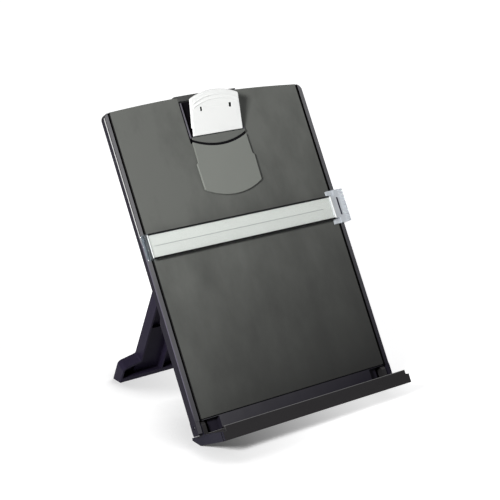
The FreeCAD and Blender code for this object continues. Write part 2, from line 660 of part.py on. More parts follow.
def guide_cover():
    """Clear cover over the bar, with thin sides that hold it."""
    half = GUIDE_H / 2 + COVER_SIDE + 0.1
    cover = box(GUIDE_LEFT, GUIDE_RIGHT, -BAR_FRONT, -GUIDE_LIFT, GUIDE_Z - half, GUIDE_Z + half)
    room = box(GUIDE_LEFT - 1, GUIDE_RIGHT + 1, -GUIDE_LIFT - STRIP_T, 1, GUIDE_Z - GUIDE_H / 2 - 0.1,
               GUIDE_Z + GUIDE_H / 2 + 0.1)
    cover = cover.cut(room)
    front = edges_where(cover, lambda p: p.y < -BAR_FRONT + 0.01)
    return cover.makeChamfer(0.3, [edge for edge in front if edge.BoundBox.XLength > 1])


def guide_toe():
    """Right-hand toe that hooks behind the panel's edge in the groove."""
    middle = PANEL_HALF + GROOVE_W / 2
    low = GUIDE_Z - TOE_HALF_H
    high = GUIDE_Z + TOE_HALF_H
    behind = LIP_PANEL + GAP
    stem = box(middle - TOE_T / 2, middle + TOE_T / 2, -1, behind + 0.6, low, high)
    hook = box(middle - TOE_T / 2 - TOE_REACH, middle + TOE_T / 2, behind, behind + 0.6, low, high)
    return fuse([stem, hook])


def guide_left_runner():
    """Clear runner under the left end of the bar, lapping over the rail."""
    low = GUIDE_Z - GUIDE_H / 2
    high = GUIDE_Z + GUIDE_H / 2
    under = box(GUIDE_LEFT - 1, GUIDE_LEFT + RUNNER_IN, -GUIDE_LIFT, -GAP, low, high)
    end = box(RUNNER_LEFT, GUIDE_LEFT, -BAR_FRONT, -GAP, low - COVER_SIDE, high + COVER_SIDE)
    end = end.makeFillet(0.5, edges_where(end, lambda p: p.y < -BAR_FRONT + 0.01))
    lap = box(RUNNER_LEFT - RAIL_HOOK, RUNNER_LEFT + 1, -GAP - RAIL_HOOK_T, -GAP, low - COVER_SIDE, high + COVER_SIDE)
    return fuse([under, end, lap, mirrored(guide_toe())])


def grip_ribs():
    """Fine ribs across the face of the finger grip."""
    pitch = 2 * (GRIP_HALF_H - 1.2) / (GRIP_RIBS - 1)
    first = GUIDE_Z - GRIP_HALF_H + 1.2
    return [rod(GRIP_RIB_R, GRIP_IN - 0.2, GRIP_OUT - 0.6, -BAR_FRONT + 0.1, first + rib * pitch)
            for rib in range(GRIP_RIBS)]


def guide_right_runner():
    """Clear runner at the right end: ears, slot for the leaf spring, toe and finger grip."""
    low = GUIDE_Z - GRIP_HALF_H
    high = GUIDE_Z + GRIP_HALF_H
    inner = GUIDE_RIGHT + GRIP_EAR_W
    frame = box(inner, GRIP_OUT, -BAR_FRONT, -GAP, low, high)
    frame = fuse([frame, box(GRIP_IN, GRIP_OUT, -BAR_FRONT, GRIP_DEPTH - GAP, low, high)])
    rims = edges_where(frame, lambda p: p.x > GRIP_OUT - 0.01)
    frame = frame.makeFillet(1.2, rims)
    neck = box(GUIDE_RIGHT, inner + 1, -BAR_FRONT, -GAP, GUIDE_Z - GUIDE_H / 2, GUIDE_Z + GUIDE_H / 2)
    under = box(GUIDE_RIGHT - RUNNER_IN, inner, -GUIDE_LIFT, -GAP, GUIDE_Z - GUIDE_H / 2, GUIDE_Z + GUIDE_H / 2)
    ears = [box(GUIDE_RIGHT - 0.6, inner + 1, -GUIDE_LIFT, -GAP, z, z + GRIP_EAR_H - SEAT) for z in (low, high - GRIP_EAR_H + SEAT)]
    slot = box(LEAF_X - LEAF_W / 2 - 0.4, LEAF_X + LEAF_W / 2 + 0.4, -BAR_FRONT - 1, 0, GUIDE_Z - LEAF_HALF_H - SEAT,
               GUIDE_Z + LEAF_HALF_H + SEAT)
    runner = fuse([frame, neck, under] + ears + grip_ribs() + [guide_toe()])
    return runner.cut(slot)


def guide_friction_spring():
    """Bowed leaf in the right runner's slot that rubs on the rail."""
    bow = -GAP - LEAF_T
    rise = 1.6
    ends = LEAF_HALF_H
    outer = [V(0, bow - rise, -ends), V(0, bow, 0), V(0, bow - rise, ends)]
    inner = [V(0, p.y + LEAF_T, p.z) for p in outer]
    edges = [Part.Arc(*outer).toShape(), Part.LineSegment(outer[2], inner[2]).toShape(),
             Part.Arc(inner[2], inner[1], inner[0]).toShape(), Part.LineSegment(inner[0], outer[0]).toShape()]
    leaf = Part.Face(Part.Wire(edges)).extrude(V(LEAF_W, 0, 0))
    leaf.translate(V(LEAF_X - LEAF_W / 2, 0, GUIDE_Z))
    return leaf


# ---------------------------------------------------------------- clip
def clip_base():
    """Tray of the clip in the panel's window, hooked over the board's top edge."""
    floor_z = CLIP_WINDOW_Z + SEAT
    top_z = arch_z(HOOK_HALF_W) - SEAT
    behind = BOARD_T + SEAT / 2
    floor = box(-WINDOW_IN, WINDOW_IN, PANEL_T - BASE_FLOOR, PANEL_T, floor_z, top_z)
    wall_top = RIVET_Z + CLIP_WALL_TOP
    wall = box(WINDOW_IN - BASE_WALL, WINDOW_IN, -BASE_PROUD, PANEL_T, LEVER_Z - CLIP_KNUCKLE_R, wall_top)
    ends = (LEVER_Z - CLIP_KNUCKLE_R, wall_top)
    wall = wall.makeChamfer(BASE_PROUD * 0.8, edges_where(wall, lambda p: p.y < 0.01 - BASE_PROUD and p.z in ends))
    lug = fuse([rod(CLIP_KNUCKLE_R, LUG_IN, LUG_OUT, 0, PIVOT_Z),
                box(LUG_IN, LUG_OUT, 0, PANEL_T, PIVOT_Z - CLIP_KNUCKLE_R, PIVOT_Z + CLIP_KNUCKLE_R)])
    hook = arched(HOOK_HALF_W, floor_z, -SEAT - HOOK_T, -HOOK_LIP, behind + HOOK_T)
    below = arched(HOOK_HALF_W + 1, floor_z - 1, -SEAT, -HOOK_LIP - 1, behind + HOOK_T + 1)
    hook = hook.cut(below)
    back = arched(HOOK_HALF_W, PANEL_TOP - HOOK_BACK, -SEAT - HOOK_T / 2, behind, behind + HOOK_T)
    front = arched(WINDOW_IN, top_z - 4 * HOOK_T, -SEAT - HOOK_T / 2, -HOOK_LIP, PANEL_T - SEAT / 2)
    base = fuse([floor, hook, back, front] + both_sides(wall) + both_sides(lug))
    cuts = [Part.makeCylinder(RIVET_R, 3 * BOARD_T, V(x, -BOARD_T, z), V(0, 1, 0)) for x, z in rivet_places()]
    low = PIVOT_Z - CLIP_SLOT
    cuts += both_sides(box(CLIP_EAR_IN - BASE_FLOOR, LUG_IN, 0, 2 * PANEL_T, low, PIVOT_Z + CLIP_SLOT))
    spring_top = PIVOT_Z + SPRING_LEG - SPRING_WIRE_R
    cuts += both_sides(box(SPRING_IN, CLIP_EAR_IN - BASE_FLOOR / 2, 0, 2 * PANEL_T, low, spring_top))
    cuts.append(rod(CLIP_PIN_R + 0.02, -2 * LUG_OUT, 2 * LUG_OUT, 0, PIVOT_Z))
    return without(base, cuts)


def clip_rivets():
    """Rivets through the clip base and the board."""
    rivets = []
    front = PANEL_T - BASE_FLOOR
    back = BOARD_T + HOOK_T + SEAT / 2
    for x, z in rivet_places():
        shank = Part.makeCylinder(RIVET_R - 0.03, back - front, V(x, front, z), V(0, 1, 0))
        front_head = Part.makeCylinder(RIVET_HEAD_R, RIVET_HEAD_T, V(x, front - RIVET_HEAD_T, z), V(0, 1, 0))
        back_head = Part.makeCylinder(RIVET_HEAD_R, RIVET_HEAD_T, V(x, back, z), V(0, 1, 0))
        rivets.append(fuse([front_head, shank, back_head]))
    return Part.makeCompound(rivets)


def clip_pin():
    """Pivot rod of the clip."""
    return rod(CLIP_PIN_R, -LUG_OUT - 0.6, LUG_OUT + 0.6, 0, PIVOT_Z)


def clip_spring():
    """Right-hand torsion spring: a close-wound coil on the pin, one leg on the base, one under the lever."""
    half = SPRING_COIL / 2
    outer = SPRING_R + SPRING_WIRE_R
    coil = rod(outer, SPRING_X - half, SPRING_X + half, 0, PIVOT_Z)
    coil = coil.cut(rod(SPRING_R - SPRING_WIRE_R, SPRING_X - SPRING_R - half, SPRING_X + SPRING_R + half, 0, PIVOT_Z))
    plate_gap = LEVER_OUT * cos_d(LEVER_TILT) + (PIVOT_Z - LEVER_Z) * sin_d(LEVER_TILT) - CAP_T - ARM_T
    rest = PANEL_T - BASE_FLOOR - SPRING_WIRE_R - SEAT / 4
    lever_leg = LEVER_TILT + math.degrees(math.atan((plate_gap - SPRING_WIRE_R - SPRING_R) / SPRING_LEG))
    base_leg = math.degrees(math.atan((SPRING_R - rest) / SPRING_LEG))
    legs = []
    for angle, side in ((base_leg, 1), (lever_leg, -1)):
        foot = V(SPRING_X + side * (half + SPRING_WIRE_R / 4), side * SPRING_R * cos_d(angle),
                 PIVOT_Z + side * SPRING_R * sin_d(angle))
        legs.append(Part.makeCylinder(SPRING_WIRE_R, SPRING_LEG, foot, V(0, -sin_d(angle), cos_d(angle))))
    return fuse([coil] + legs)


def knuckle_link():
    """Right-hand knuckle of the rocker with its link to the lever, in the lever's frame."""
    back = FreeCAD.Rotation(ACROSS, -LEVER_TILT).multVec(V(0, LEVER_OUT, PIVOT_Z - LEVER_Z))
    outer = LUG_IN - GAP
    link = box(CLIP_EAR_IN, outer, CAP_T, back.y, back.z - CLIP_KNUCKLE_R, back.z + CLIP_KNUCKLE_R)
    return fuse([link, rod(CLIP_KNUCKLE_R, CLIP_EAR_IN, outer, back.y, back.z)])


def lever_outline(y0, y1, inset):
    """Plate of the press lever: tapered sides, arched top, in the lever's frame."""
    foot = LEVER_HALF_W - inset
    top = LEVER_TOP_HALF_W - inset
    side = LEVER_SIDE - inset
    edges = outline([(-top, side), (-foot, inset / 2), (foot, inset / 2), (top, side)])
    edges.append(arc((top, side), (0, LEVER_MID - inset), (-top, side)))
    slab = plate(edges, y0, y1)
    corners = edges_where(slab, lambda p: abs(p.z - side) < 0.01)
    return slab.makeFillet(CAP_CORNER_R, corners)


def cap_window(x, width, y0, y1, grow=0.0):
    """Block of a window in the press plate, or of the hook in it, in the lever's frame."""
    half_h = CAP_WINDOW_H / 2 + grow
    return box(x - width / 2, x + width / 2, y0, y1, CAP_WINDOW_S - half_h, CAP_WINDOW_S + half_h)


def ridge_arc(drop, y0, y1):
    """Everything under an arc that follows the press plate's top edge, lowered by drop."""
    half = LEVER_TOP_HALF_W - 2 * CAP_SKIRT_T
    side = LEVER_SIDE - drop
    edges = outline([(-half, side), (-half, side - LEVER_DROP), (half, side - LEVER_DROP), (half, side)])
    edges.append(arc((half, side), (0, LEVER_MID - drop), (-half, side)))
    return plate(edges, y0, y1)


def clip_arm():
    """Black rocker: jaw arm, lever plate and pivot knuckles."""
    half = JAW_NECK_HALF_W - JAW_RIM - SEAT
    jaw = jaw_outline(JAW_RIM + SEAT, -ARM_FRONT, -JAW_LIFT)
    neck = box(-half, half, -ARM_FRONT, -JAW_LIFT, JAW_KINK_Z, LEVER_Z + 2 * ARM_T)
    lever = lever_outline(CAP_T, CAP_T + ARM_T, CAP_SKIRT_T + SEAT)
    heel_half = SPRING_IN - GAP
    heel = box(-heel_half, heel_half, CAP_T, CAP_T + 2 * ARM_T, ARM_T, 3 * ARM_T)
    hooks = [cap_window(x, width - 2 * SEAT, HOOK_DROP, CAP_T + ARM_T, -SEAT) for x, width in CAP_WINDOWS]
    pieces = [place_lever(piece) for piece in [lever, heel] + hooks + both_sides(knuckle_link())]
    return fuse([jaw, neck] + pieces).cut(rod(CLIP_PIN_R + 0.05, -LUG_OUT, LUG_OUT, 0, PIVOT_Z))


def clip_lever_cap():
    """White press plate with skirts, grip ridges, two windows and a scribed line."""
    deep = CAP_T + CAP_SKIRT
    cap = lever_outline(0, deep, 0)
    inner = lever_outline(CAP_T, deep + 1, CAP_SKIRT_T)
    foot = box(-LEVER_HALF_W, LEVER_HALF_W, CAP_T, deep + 1, -1, 2 * LEVER_DROP)
    cap = without(cap, [inner, foot])
    cap = cap.makeChamfer(0.5, edges_where(cap, lambda p: p.y < 0.01))
    ridges = [ridge_arc(drop, -RIDGE_PROUD, CAP_T / 2).cut(ridge_arc(drop + RIDGE_T, -1, CAP_T)) for drop in RIDGE_DROPS]
    cuts = [Part.makeCylinder(GATE_R, 2 * MARK_DEPTH, V(0, -MARK_DEPTH, GATE_S), V(0, 1, 0))]
    cuts += [cap_window(x, width, -1, CAP_T + 1) for x, width in CAP_WINDOWS]
    cuts.append(box(CAP_WINDOWS[0][0], CAP_WINDOWS[1][0], -MARK_DEPTH, MARK_DEPTH, CAP_LINE_S - CAP_LINE / 2,
                    CAP_LINE_S + CAP_LINE / 2))
    return place_lever(without(fuse([cap] + ridges), cuts))


def clip_bridge_cover():
    """Grey piece between the press plate and the jaw, with an arched lower edge."""
    side = JAW_ARC_Z + JAW_ARC_RISE
    half = JAW_NECK_HALF_W - 0.4
    top = LEVER_Z - BRIDGE_GAP
    edges = outline([(half, side), (half, top), (-half, top), (-half, side)])
    edges.append(arc((-half, side), (0, JAW_ARC_Z), (half, side)))
    bridge = plate(edges, -ARM_FRONT - BRIDGE_T, -ARM_FRONT)
    lower = edges_where(bridge, lambda p: p.y < -ARM_FRONT - BRIDGE_T + 0.01 and p.z < side + 0.01)
    return bridge.makeChamfer(0.4, lower)


def jaw_outline(inset, y0, y1):
    """Plate of the jaw: stepped sides, curved tip and arched top, drawn in by an inset."""
    top = JAW_ARC_Z + JAW_ARC_RISE - JAW_ARC_GAP
    neck = JAW_NECK_HALF_W - inset
    half = JAW_HALF_W - inset
    right = [(neck, top - inset), (neck + 0.4, JAW_KINK_Z + JAW_STEP / 2), (half + 0.6, JAW_KINK_Z - JAW_STEP / 2),
             (half, JAW_CORNER_Z)]
    left = [(-x, z) for x, z in reversed(right)]
    edges = outline(right)
    edges.append(arc(right[-1], (0, JAW_BOTTOM + inset), left[0]))
    edges += outline(left)
    edges.append(arc(left[-1], (0, JAW_ARC_Z - JAW_ARC_GAP - inset), right[0]))
    return plate(edges, y0, y1)


def jaw_cover():
    """Grey jaw plate with a rim behind its sides and tip."""
    jaw = jaw_outline(0, -JAW_FRONT, -JAW_RIM_BACK)
    corners = edges_where(jaw, lambda p: abs(p.z - JAW_CORNER_Z) < 0.01)
    jaw = jaw.makeFillet(JAW_STEP, corners)
    rims = edges_where(jaw, lambda p: p.y < 0.01 - JAW_FRONT and p.z < JAW_KINK_Z + 2 * JAW_STEP)
    jaw = jaw.makeChamfer(0.3, rims)
    hollow = jaw_outline(JAW_RIM, -ARM_FRONT, 0)
    top = JAW_ARC_Z + JAW_ARC_RISE
    open_top = box(-JAW_NECK_HALF_W + JAW_RIM, JAW_NECK_HALF_W - JAW_RIM, -ARM_FRONT, 0, top - 2 * JAW_ARC_RISE, top)
    return without(jaw, [hollow, open_top])


def jaw_pad():
    """Rubber pad under the lower edge of the jaw."""
    half = JAW_NECK_HALF_W - JAW_RIM - JAW_STEP
    low = JAW_CORNER_Z - JAW_RIM
    return box(-half, half, -JAW_LIFT, -JAW_LIFT + JAW_PAD_T, low, low + PAD_W)


# ---------------------------------------------------------------- the whole holder
def build():
    """Every node of the holder in its real place."""
    tray = place_board(ledge_tray()).cut(sole_pad_room(SEAT / 2))
    leg = place_leg(leg_shell())
    for x in (-FOOT_PAD_X, FOOT_PAD_X):
        leg = leg.cut(foot_pad_room(x, SEAT / 2))
    nodes = {
        "ledge_tray": tray,
        "ledge_sole_pad": sole_pad_room(0),
        "leg_shell": leg,
        "leg_foot_pad_left": foot_pad_room(-FOOT_PAD_X, 0),
        "leg_foot_pad_right": foot_pad_room(FOOT_PAD_X, 0),
    }
    on_board = {
        "board_frame": board_frame(),
        "front_panel": front_panel(),
        "leg_hinge_bracket": leg_hinge_bracket(),
        "bracket_screws": bracket_screws(),
        "leg_hinge_pin": leg_hinge_pin(),
        "ledge_pin_left": mirrored(ledge_pin()),
        "ledge_pin_right": ledge_pin(),
        "ledge_lip": ledge_lip(),
        "guide_strip": guide_strip(),
        "guide_cover": guide_cover(),
        "guide_left_runner": guide_left_runner(),
        "guide_right_runner": guide_right_runner(),
        "guide_friction_spring": guide_friction_spring(),
        "clip_base": clip_base(),
        "clip_rivets": clip_rivets(),
        "clip_pin": clip_pin(),
        "clip_spring_left": mirrored(clip_spring()),
        "clip_spring_right": clip_spring(),
        "clip_arm": clip_arm(),
        "clip_lever_cap": clip_lever_cap(),
        "clip_bridge_cover": clip_bridge_cover(),
        "jaw_cover": jaw_cover(),
        "jaw_pad": jaw_pad(),
    }
    for name, shape in on_board.items():
        nodes[name] = place_board(shape)
    return nodes


def main():
    """Write one STEP file per node."""
    os.makedirs("parts", exist_ok=True)
    for name, shape in build().items():
        print(name, "valid" if shape.isValid() else "BROKEN", len(shape.Solids), "solids", round(shape.Volume), "mm3")
        shape.exportStep(os.path.join("parts", name + ".step"))


main()
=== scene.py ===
# %% [markdown]
# # A leaning copy holder, dressed for the camera
# A copy holder stands beside a screen and carries a sheet of paper at reading height.
# This one has a leaning board, a ledge that folds up, a leg that folds flat on the back,
# a bar that slides down the page line by line, and a sprung clip at the top.
# The solids, the hinges and the slide come from a imported frame.  The cells below only give
# those solids their light, their finish and the fine forms that a mould or a spring maker adds.

# %% Load the frame
import json
import math

import bmesh
import bpy
from mathutils import Matrix, Vector


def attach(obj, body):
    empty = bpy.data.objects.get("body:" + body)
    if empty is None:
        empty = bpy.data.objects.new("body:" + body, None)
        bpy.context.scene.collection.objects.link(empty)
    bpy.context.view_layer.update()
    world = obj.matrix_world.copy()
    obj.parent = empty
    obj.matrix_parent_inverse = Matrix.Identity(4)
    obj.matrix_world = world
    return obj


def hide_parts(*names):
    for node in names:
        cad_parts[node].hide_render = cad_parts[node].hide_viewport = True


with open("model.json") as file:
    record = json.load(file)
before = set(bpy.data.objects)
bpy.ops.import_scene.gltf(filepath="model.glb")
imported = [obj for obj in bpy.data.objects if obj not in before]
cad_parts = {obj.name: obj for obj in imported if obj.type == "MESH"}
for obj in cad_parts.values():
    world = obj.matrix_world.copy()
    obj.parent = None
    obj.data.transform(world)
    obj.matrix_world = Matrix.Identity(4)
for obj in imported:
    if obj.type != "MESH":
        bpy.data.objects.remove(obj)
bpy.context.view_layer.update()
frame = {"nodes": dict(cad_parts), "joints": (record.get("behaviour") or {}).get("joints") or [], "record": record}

JOINTS = {joint["name"]: joint for joint in frame["joints"]}
print("nodes:", len(frame["nodes"]))

# %% [markdown]
# ## Two rulers
# The frame is in metres, with the board already leaned back.  It is much easier to place a
# rivet or a spring on a board that stands upright, so one matrix leans such a piece back.
# It is found from a point that both sides know: the pin of the clip, 272 mm up the board.

# %% Millimetres, and the board's lean
MM = 0.001
LEAN = math.radians(30.0)
PIN_UP_BOARD = 272.0
lean_turn = Matrix.Rotation(-LEAN, 4, "X")
clip_pin = Vector(JOINTS["clip_jaw"]["pos_m"])
BOARD = Matrix.Translation(clip_pin - lean_turn @ Vector((0, 0, PIN_UP_BOARD * MM))) @ lean_turn
UP_BOARD = Vector((0.0, math.sin(LEAN), math.cos(LEAN)))
FOOT_UP = UP_BOARD.dot(BOARD.translation)
print("foot of the panel stands at", [round(c, 4) for c in BOARD.translation])

# %% [markdown]
# ## The camera
# A long lens from well back keeps the sides of the board nearly parallel, as in a catalogue.
# The camera stands to the reader's left and a little above the board, and looks across it.
# Blender turns a camera from looking straight down, so the pitch is counted from there.
# A small helper comes first: it makes an object and links it to the scene, and serves the
# camera, the lamps and every piece below.

# %% Camera
LENS = 102.12
TURN = math.radians(35.895)
PITCH = math.radians(18.529)
CAMERA_AT = (-0.7839, -1.0120, 0.5994)


def in_scene(name, content):
    """A new object at the origin, linked to the scene."""
    piece = bpy.data.objects.new(name, content)
    bpy.context.scene.collection.objects.link(piece)
    return piece


lens = bpy.data.cameras.new("holder_view")
lens.lens = LENS
lens.sensor_width = 36.0
lens.clip_start = 0.05
camera = in_scene("holder_view", lens)
camera.location = CAMERA_AT
camera.rotation_euler = (math.pi / 2 - PITCH, 0.0, -TURN)
bpy.context.scene.camera = camera
bpy.context.scene.view_settings.view_transform = "Standard"
print("lens", LENS, "mm")

# %% [markdown]
# ## Building materials from nodes
# Every finish here is a Principled shader fed by a few procedural nodes.  A short helper adds
# a node, sets its plain sockets and links the rest, so that each finish reads like a recipe.
# Patterns read Object coordinates.  Each piece sits at the origin with its place in its mesh,
# so a pattern stays the same size on every piece and rides with it when a joint moves.

# %% Node helpers
def node_in(tree, kind, settings=None, **sockets):
    """Add a node; settings are its own fields, sockets its inputs, by name with _ for a space."""
    node = tree.nodes.new(kind)
    for field, value in (settings or {}).items():
        setattr(node, field, value)
    for label, value in sockets.items():
        plug(tree, node, label.replace("_", " "), value)
    return node


def plug(tree, node, label, value):
    """Give one input a plain value, or link it to another node's output."""
    socket = node.inputs[int(label[1:])] if label[0] == "#" else node.inputs[label]
    if isinstance(value, bpy.types.NodeSocket):
        tree.links.new(value, socket)
    else:
        socket.default_value = value


def numbered(*values):
    """Values for inputs 0, 1, 2 and on, for a node whose inputs share one name."""
    return {f"#{index}": value for index, value in enumerate(values)}


def colour(value):
    """A grey or an (r, g, b) as the four numbers that a colour socket takes."""
    rgb = (value,) * 3 if isinstance(value, (int, float)) else tuple(value)
    return (*rgb, 1.0)


def new_group(name, kind, inputs, outputs):
    """An empty node group with its named sockets, and its two end nodes."""
    tree = bpy.data.node_groups.new(name, kind)
    for label, (socket_type, value) in inputs.items():
        socket = tree.interface.new_socket(name=label, in_out="INPUT", socket_type=socket_type)
        if value is not None:
            socket.default_value = value
    for label, socket_type in outputs.items():
        tree.interface.new_socket(name=label, in_out="OUTPUT", socket_type=socket_type)
    return tree, tree.nodes.new("NodeGroupInput"), tree.nodes.new("NodeGroupOutput")


def new_finish(name):
    """A new material, its node tree and its Principled shader."""
    finish = bpy.data.materials.new(name)
    finish.use_nodes = True
    return finish, finish.node_tree, finish.node_tree.nodes["Principled BSDF"]


FLOAT = "NodeSocketFloat"
print("helpers ready")

# %% [markdown]
# ## One word for each common node
# A sum, a ramp, a noise and a mix of two colours turn up in nearly every recipe.  Each gets one
# word here, which adds the node and returns its result.  A recipe then reads from the inside
# out, like a formula, and the same words serve the shape trees further down.

# %% Words for common nodes
def calc(tree, operation, *values, clamp=False):
    """The result of a Math node."""
    settings = {"operation": operation, "use_clamp": clamp}
    return node_in(tree, "ShaderNodeMath", settings, **numbered(*values)).outputs[0]


def ramp(tree, value, start=0.0, end=1.0, low=0.0, high=1.0):
    """low up to start, high from end on, and a straight ramp between."""
    return node_in(tree, "ShaderNodeMapRange", Value=value, From_Min=start, From_Max=end,
                   To_Min=low, To_Max=high).outputs[0]


def noise(tree, place, scale, detail, roughness=0.5):
    """The value of a noise at a place."""
    return node_in(tree, "ShaderNodeTexNoise", Vector=place, Scale=scale, Detail=detail,
                   Roughness=roughness).outputs["Fac"]


def stretched(tree, place, scale):
    """A place scaled along each axis, to draw a noise out into streaks."""
    return node_in(tree, "ShaderNodeMapping", Vector=place, Scale=scale).outputs[0]


def dot(tree, vector, direction):
    """How far a vector reaches in a direction."""
    return node_in(tree, "ShaderNodeVectorMath", {"operation": "DOT_PRODUCT"},
                   **numbered(vector, direction)).outputs["Value"]


def combined(tree, **axes):
    """A vector from X, Y and Z; an axis that isn't named is 0."""
    return node_in(tree, "ShaderNodeCombineXYZ", **axes).outputs[0]


def mixed(tree, share, first, second):
    """The colour a share of the way from the first to the second."""
    mix = node_in(tree, "ShaderNodeMix", {"data_type": "RGBA"}, **numbered(share))
    for label, value in (("#6", first), ("#7", second)):
        plug(tree, mix, label, value if isinstance(value, bpy.types.NodeSocket) else colour(value))
    return mix.outputs[2]


def on_object(tree):
    """Where a point is on its own object."""
    return node_in(tree, "ShaderNodeTexCoord").outputs["Object"]


def surface_normal(tree):
    """The way the surface faces."""
    return node_in(tree, "ShaderNodeNewGeometry").outputs["Normal"]


SIDEWAYS = Vector((1.0, 0.0, 0.0))
UPWARDS = Vector((0.0, 0.0, 1.0))
print("words ready")

# %% [markdown]
# ## Moulded grain, once for all plastics
# Injection moulds are spark-eroded to a fine satin, so that fingerprints and sink marks hide.
# Up close that is a carpet of tiny pits, and further off it breaks up a reflection.
# One shader group makes it: a fine noise for the pits, and a broad noise for the slow
# differences in gloss that appear where the plastic cooled faster.
# The group puts out a height, for a Bump node, and a value that varies the roughness.

# %% Shader group: moulded grain
grain, grain_in, grain_out = new_group(
    "moulded_grain", "ShaderNodeTree",
    {"Pits per metre": (FLOAT, 2600.0), "Cloud size": (FLOAT, 26.0), "Cloud strength": (FLOAT, 0.08)},
    {"Height": FLOAT, "Gloss shift": FLOAT, "Cloud": FLOAT})
place = on_object(grain)
pits = noise(grain, place, grain_in.outputs["Pits per metre"], 2.0, 0.6)
cloud = noise(grain, place, grain_in.outputs["Cloud size"], 4.0, 0.55)
shift = calc(grain, "MULTIPLY", calc(grain, "SUBTRACT", cloud, 0.5), grain_in.outputs["Cloud strength"])
for label, value in (("Height", pits), ("Gloss shift", shift), ("Cloud", cloud)):
    plug(grain, grain_out, label, value)
print("group", grain.name, "has", len(grain.nodes), "nodes")

# %% [markdown]
# ## Dust and rubbed places
# Dark plastic shows the little dust that lies on upward faces, and shines where hands and
# paper rub it.  A second group makes both masks: dust grows with the upward part of the
# surface normal and is broken up by noise, and rub is a stretched noise with soft limits.

# %% Shader group: dust and rub
handling, handling_in, handling_out = new_group(
    "dust_and_rub", "ShaderNodeTree",
    {"Dust amount": (FLOAT, 0.2), "Rub amount": (FLOAT, 0.3)}, {"Dust": FLOAT, "Rub": FLOAT})
place = on_object(handling)
upward = ramp(handling, dot(handling, surface_normal(handling), UPWARDS), 0.35, 1.0)
specks = ramp(handling, noise(handling, place, 900.0, 3.0), 0.52, 0.72)
strokes = noise(handling, stretched(handling, place, (30.0, 140.0, 60.0)), 1.0, 3.0)
for label, mask in (("Dust", calc(handling, "MULTIPLY", upward, specks)),
                    ("Rub", ramp(handling, strokes, 0.45, 0.75))):
    amount = handling_in.outputs[label + " amount"]
    plug(handling, handling_out, label, calc(handling, "MULTIPLY", mask, amount))
print("group", handling.name, "has", len(handling.nodes), "nodes")

# %% [markdown]
# ## The plastics
# The leg and its bracket are satin black polystyrene, with a trace of violet from the pigment.
# The clip's jaw is a warm grey, the bridge above it a darker one, and its lever a clean white.
# All share one recipe: two close colours mixed by the cloud, dust on top, a roughness that
# the cloud shifts and the rub lowers, and the pits as bump.
# Black plastic owes most of what the eye sees to reflection, so its mirror strength
# (Specular IOR Level) is set for each finish, straight on the shader's socket.

# %% Plastic recipe
DUST = (0.36, 0.35, 0.33)
RUB_SHINE = -0.12


def moulded(name, light, dark, gloss, pit_depth, dust_amount=0.02, rub_amount=0.25, cloud=26.0,
            mirror=0.5, gloss_cloud=0.08):
    """A moulded plastic: its two colours, its middle roughness and its grain in millimetres.

    cloud is how fine its slow differences are, gloss_cloud how far they shift the roughness,
    and mirror how strongly it reflects.
    """
    finish, tree, shader = new_finish(name)
    texture = node_in(tree, "ShaderNodeGroup", {"node_tree": grain}, Cloud_size=cloud,
                      Cloud_strength=gloss_cloud).outputs
    touch = node_in(tree, "ShaderNodeGroup", {"node_tree": handling}, Dust_amount=dust_amount,
                    Rub_amount=rub_amount).outputs
    base = mixed(tree, texture["Cloud"], dark, light)
    rough = calc(tree, "ADD", texture["Gloss shift"], gloss)
    bump = node_in(tree, "ShaderNodeBump", Height=texture["Height"], Strength=1.0, Distance=pit_depth * MM)
    plug(tree, shader, "Base Color", mixed(tree, touch["Dust"], base, DUST))
    plug(tree, shader, "Roughness", calc(tree, "MULTIPLY_ADD", touch["Rub"], RUB_SHINE, rough))
    plug(tree, shader, "Normal", bump.outputs[0])
    plug(tree, shader, "Specular IOR Level", mirror)
    return finish


black_plastic = moulded("black_plastic", (0.0168, 0.0134, 0.0272), (0.0120, 0.0095, 0.0195), 0.40, 0.016,
                        dust_amount=0.03, mirror=0.04)
clip_grey = moulded("clip_grey", (0.176, 0.185, 0.168), (0.158, 0.166, 0.151), 0.42, 0.006, mirror=0.3)
bridge_grey = moulded("bridge_grey", (0.122, 0.127, 0.118), (0.106, 0.111, 0.103), 0.46, 0.006, mirror=0.2)
clip_white = moulded("clip_white", (0.845, 0.855, 0.84), (0.825, 0.835, 0.82), 0.36, 0.005,
                     dust_amount=0.0, mirror=0.3)
print("plastics:", black_plastic.name, clip_grey.name, bridge_grey.name, clip_white.name)

# %% [markdown]
# ## A painted sheen
# The front of the board gets a painted sheen: grey laid over its black, most towards the
# upper left and least down at the right, as the light falls over it.  A group makes the mask
# from three things.  A dot product of the place on the object with one direction is a slope
# over the board; a smeary noise breaks it up; and the surface normal keeps it on faces that
# look to the reader, which are the lit ones.

# %% Shader group: painted sheen
OUT_OF_BOARD = Vector((0.0, -math.cos(LEAN), math.sin(LEAN)))
FACE_OUT = OUT_OF_BOARD.dot(BOARD.translation)
SHEEN_RISE = 0.28
SHEEN_FALL = SHEEN_RISE * UP_BOARD - 0.12 * SIDEWAYS
SHEEN_FOOT = SHEEN_RISE * FOOT_UP
# Painted sheen: grey on faces that look to the reader, most at the upper left, least at the lower right.
sheen_group, sheen_group_in, sheen_group_out = new_group(
    "painted_sheen_gradient", "ShaderNodeTree",
    {"None at": (FLOAT, SHEEN_FOOT - 0.016), "Full at": (FLOAT, SHEEN_FOOT + 0.068)}, {"Mask": FLOAT})
place = on_object(sheen_group)
limits = [sheen_group_in.outputs[label] for label in ("None at", "Full at")]
share = ramp(sheen_group, dot(sheen_group, place, SHEEN_FALL), *limits)
smears = noise(sheen_group, stretched(sheen_group, place, (26.0, 14.0, 14.0)), 1.0, 5.0, 0.6)
broken = calc(sheen_group, "MULTIPLY", share, ramp(sheen_group, smears, 0.3, 0.7, 0.76, 1.20))
to_reader = ramp(sheen_group, dot(sheen_group, surface_normal(sheen_group), OUT_OF_BOARD), 0.6, 0.9)
plug(sheen_group, sheen_group_out, "Mask", calc(sheen_group, "MULTIPLY", broken, to_reader, clamp=True))
print("group", sheen_group.name, "has", len(sheen_group.nodes), "nodes")

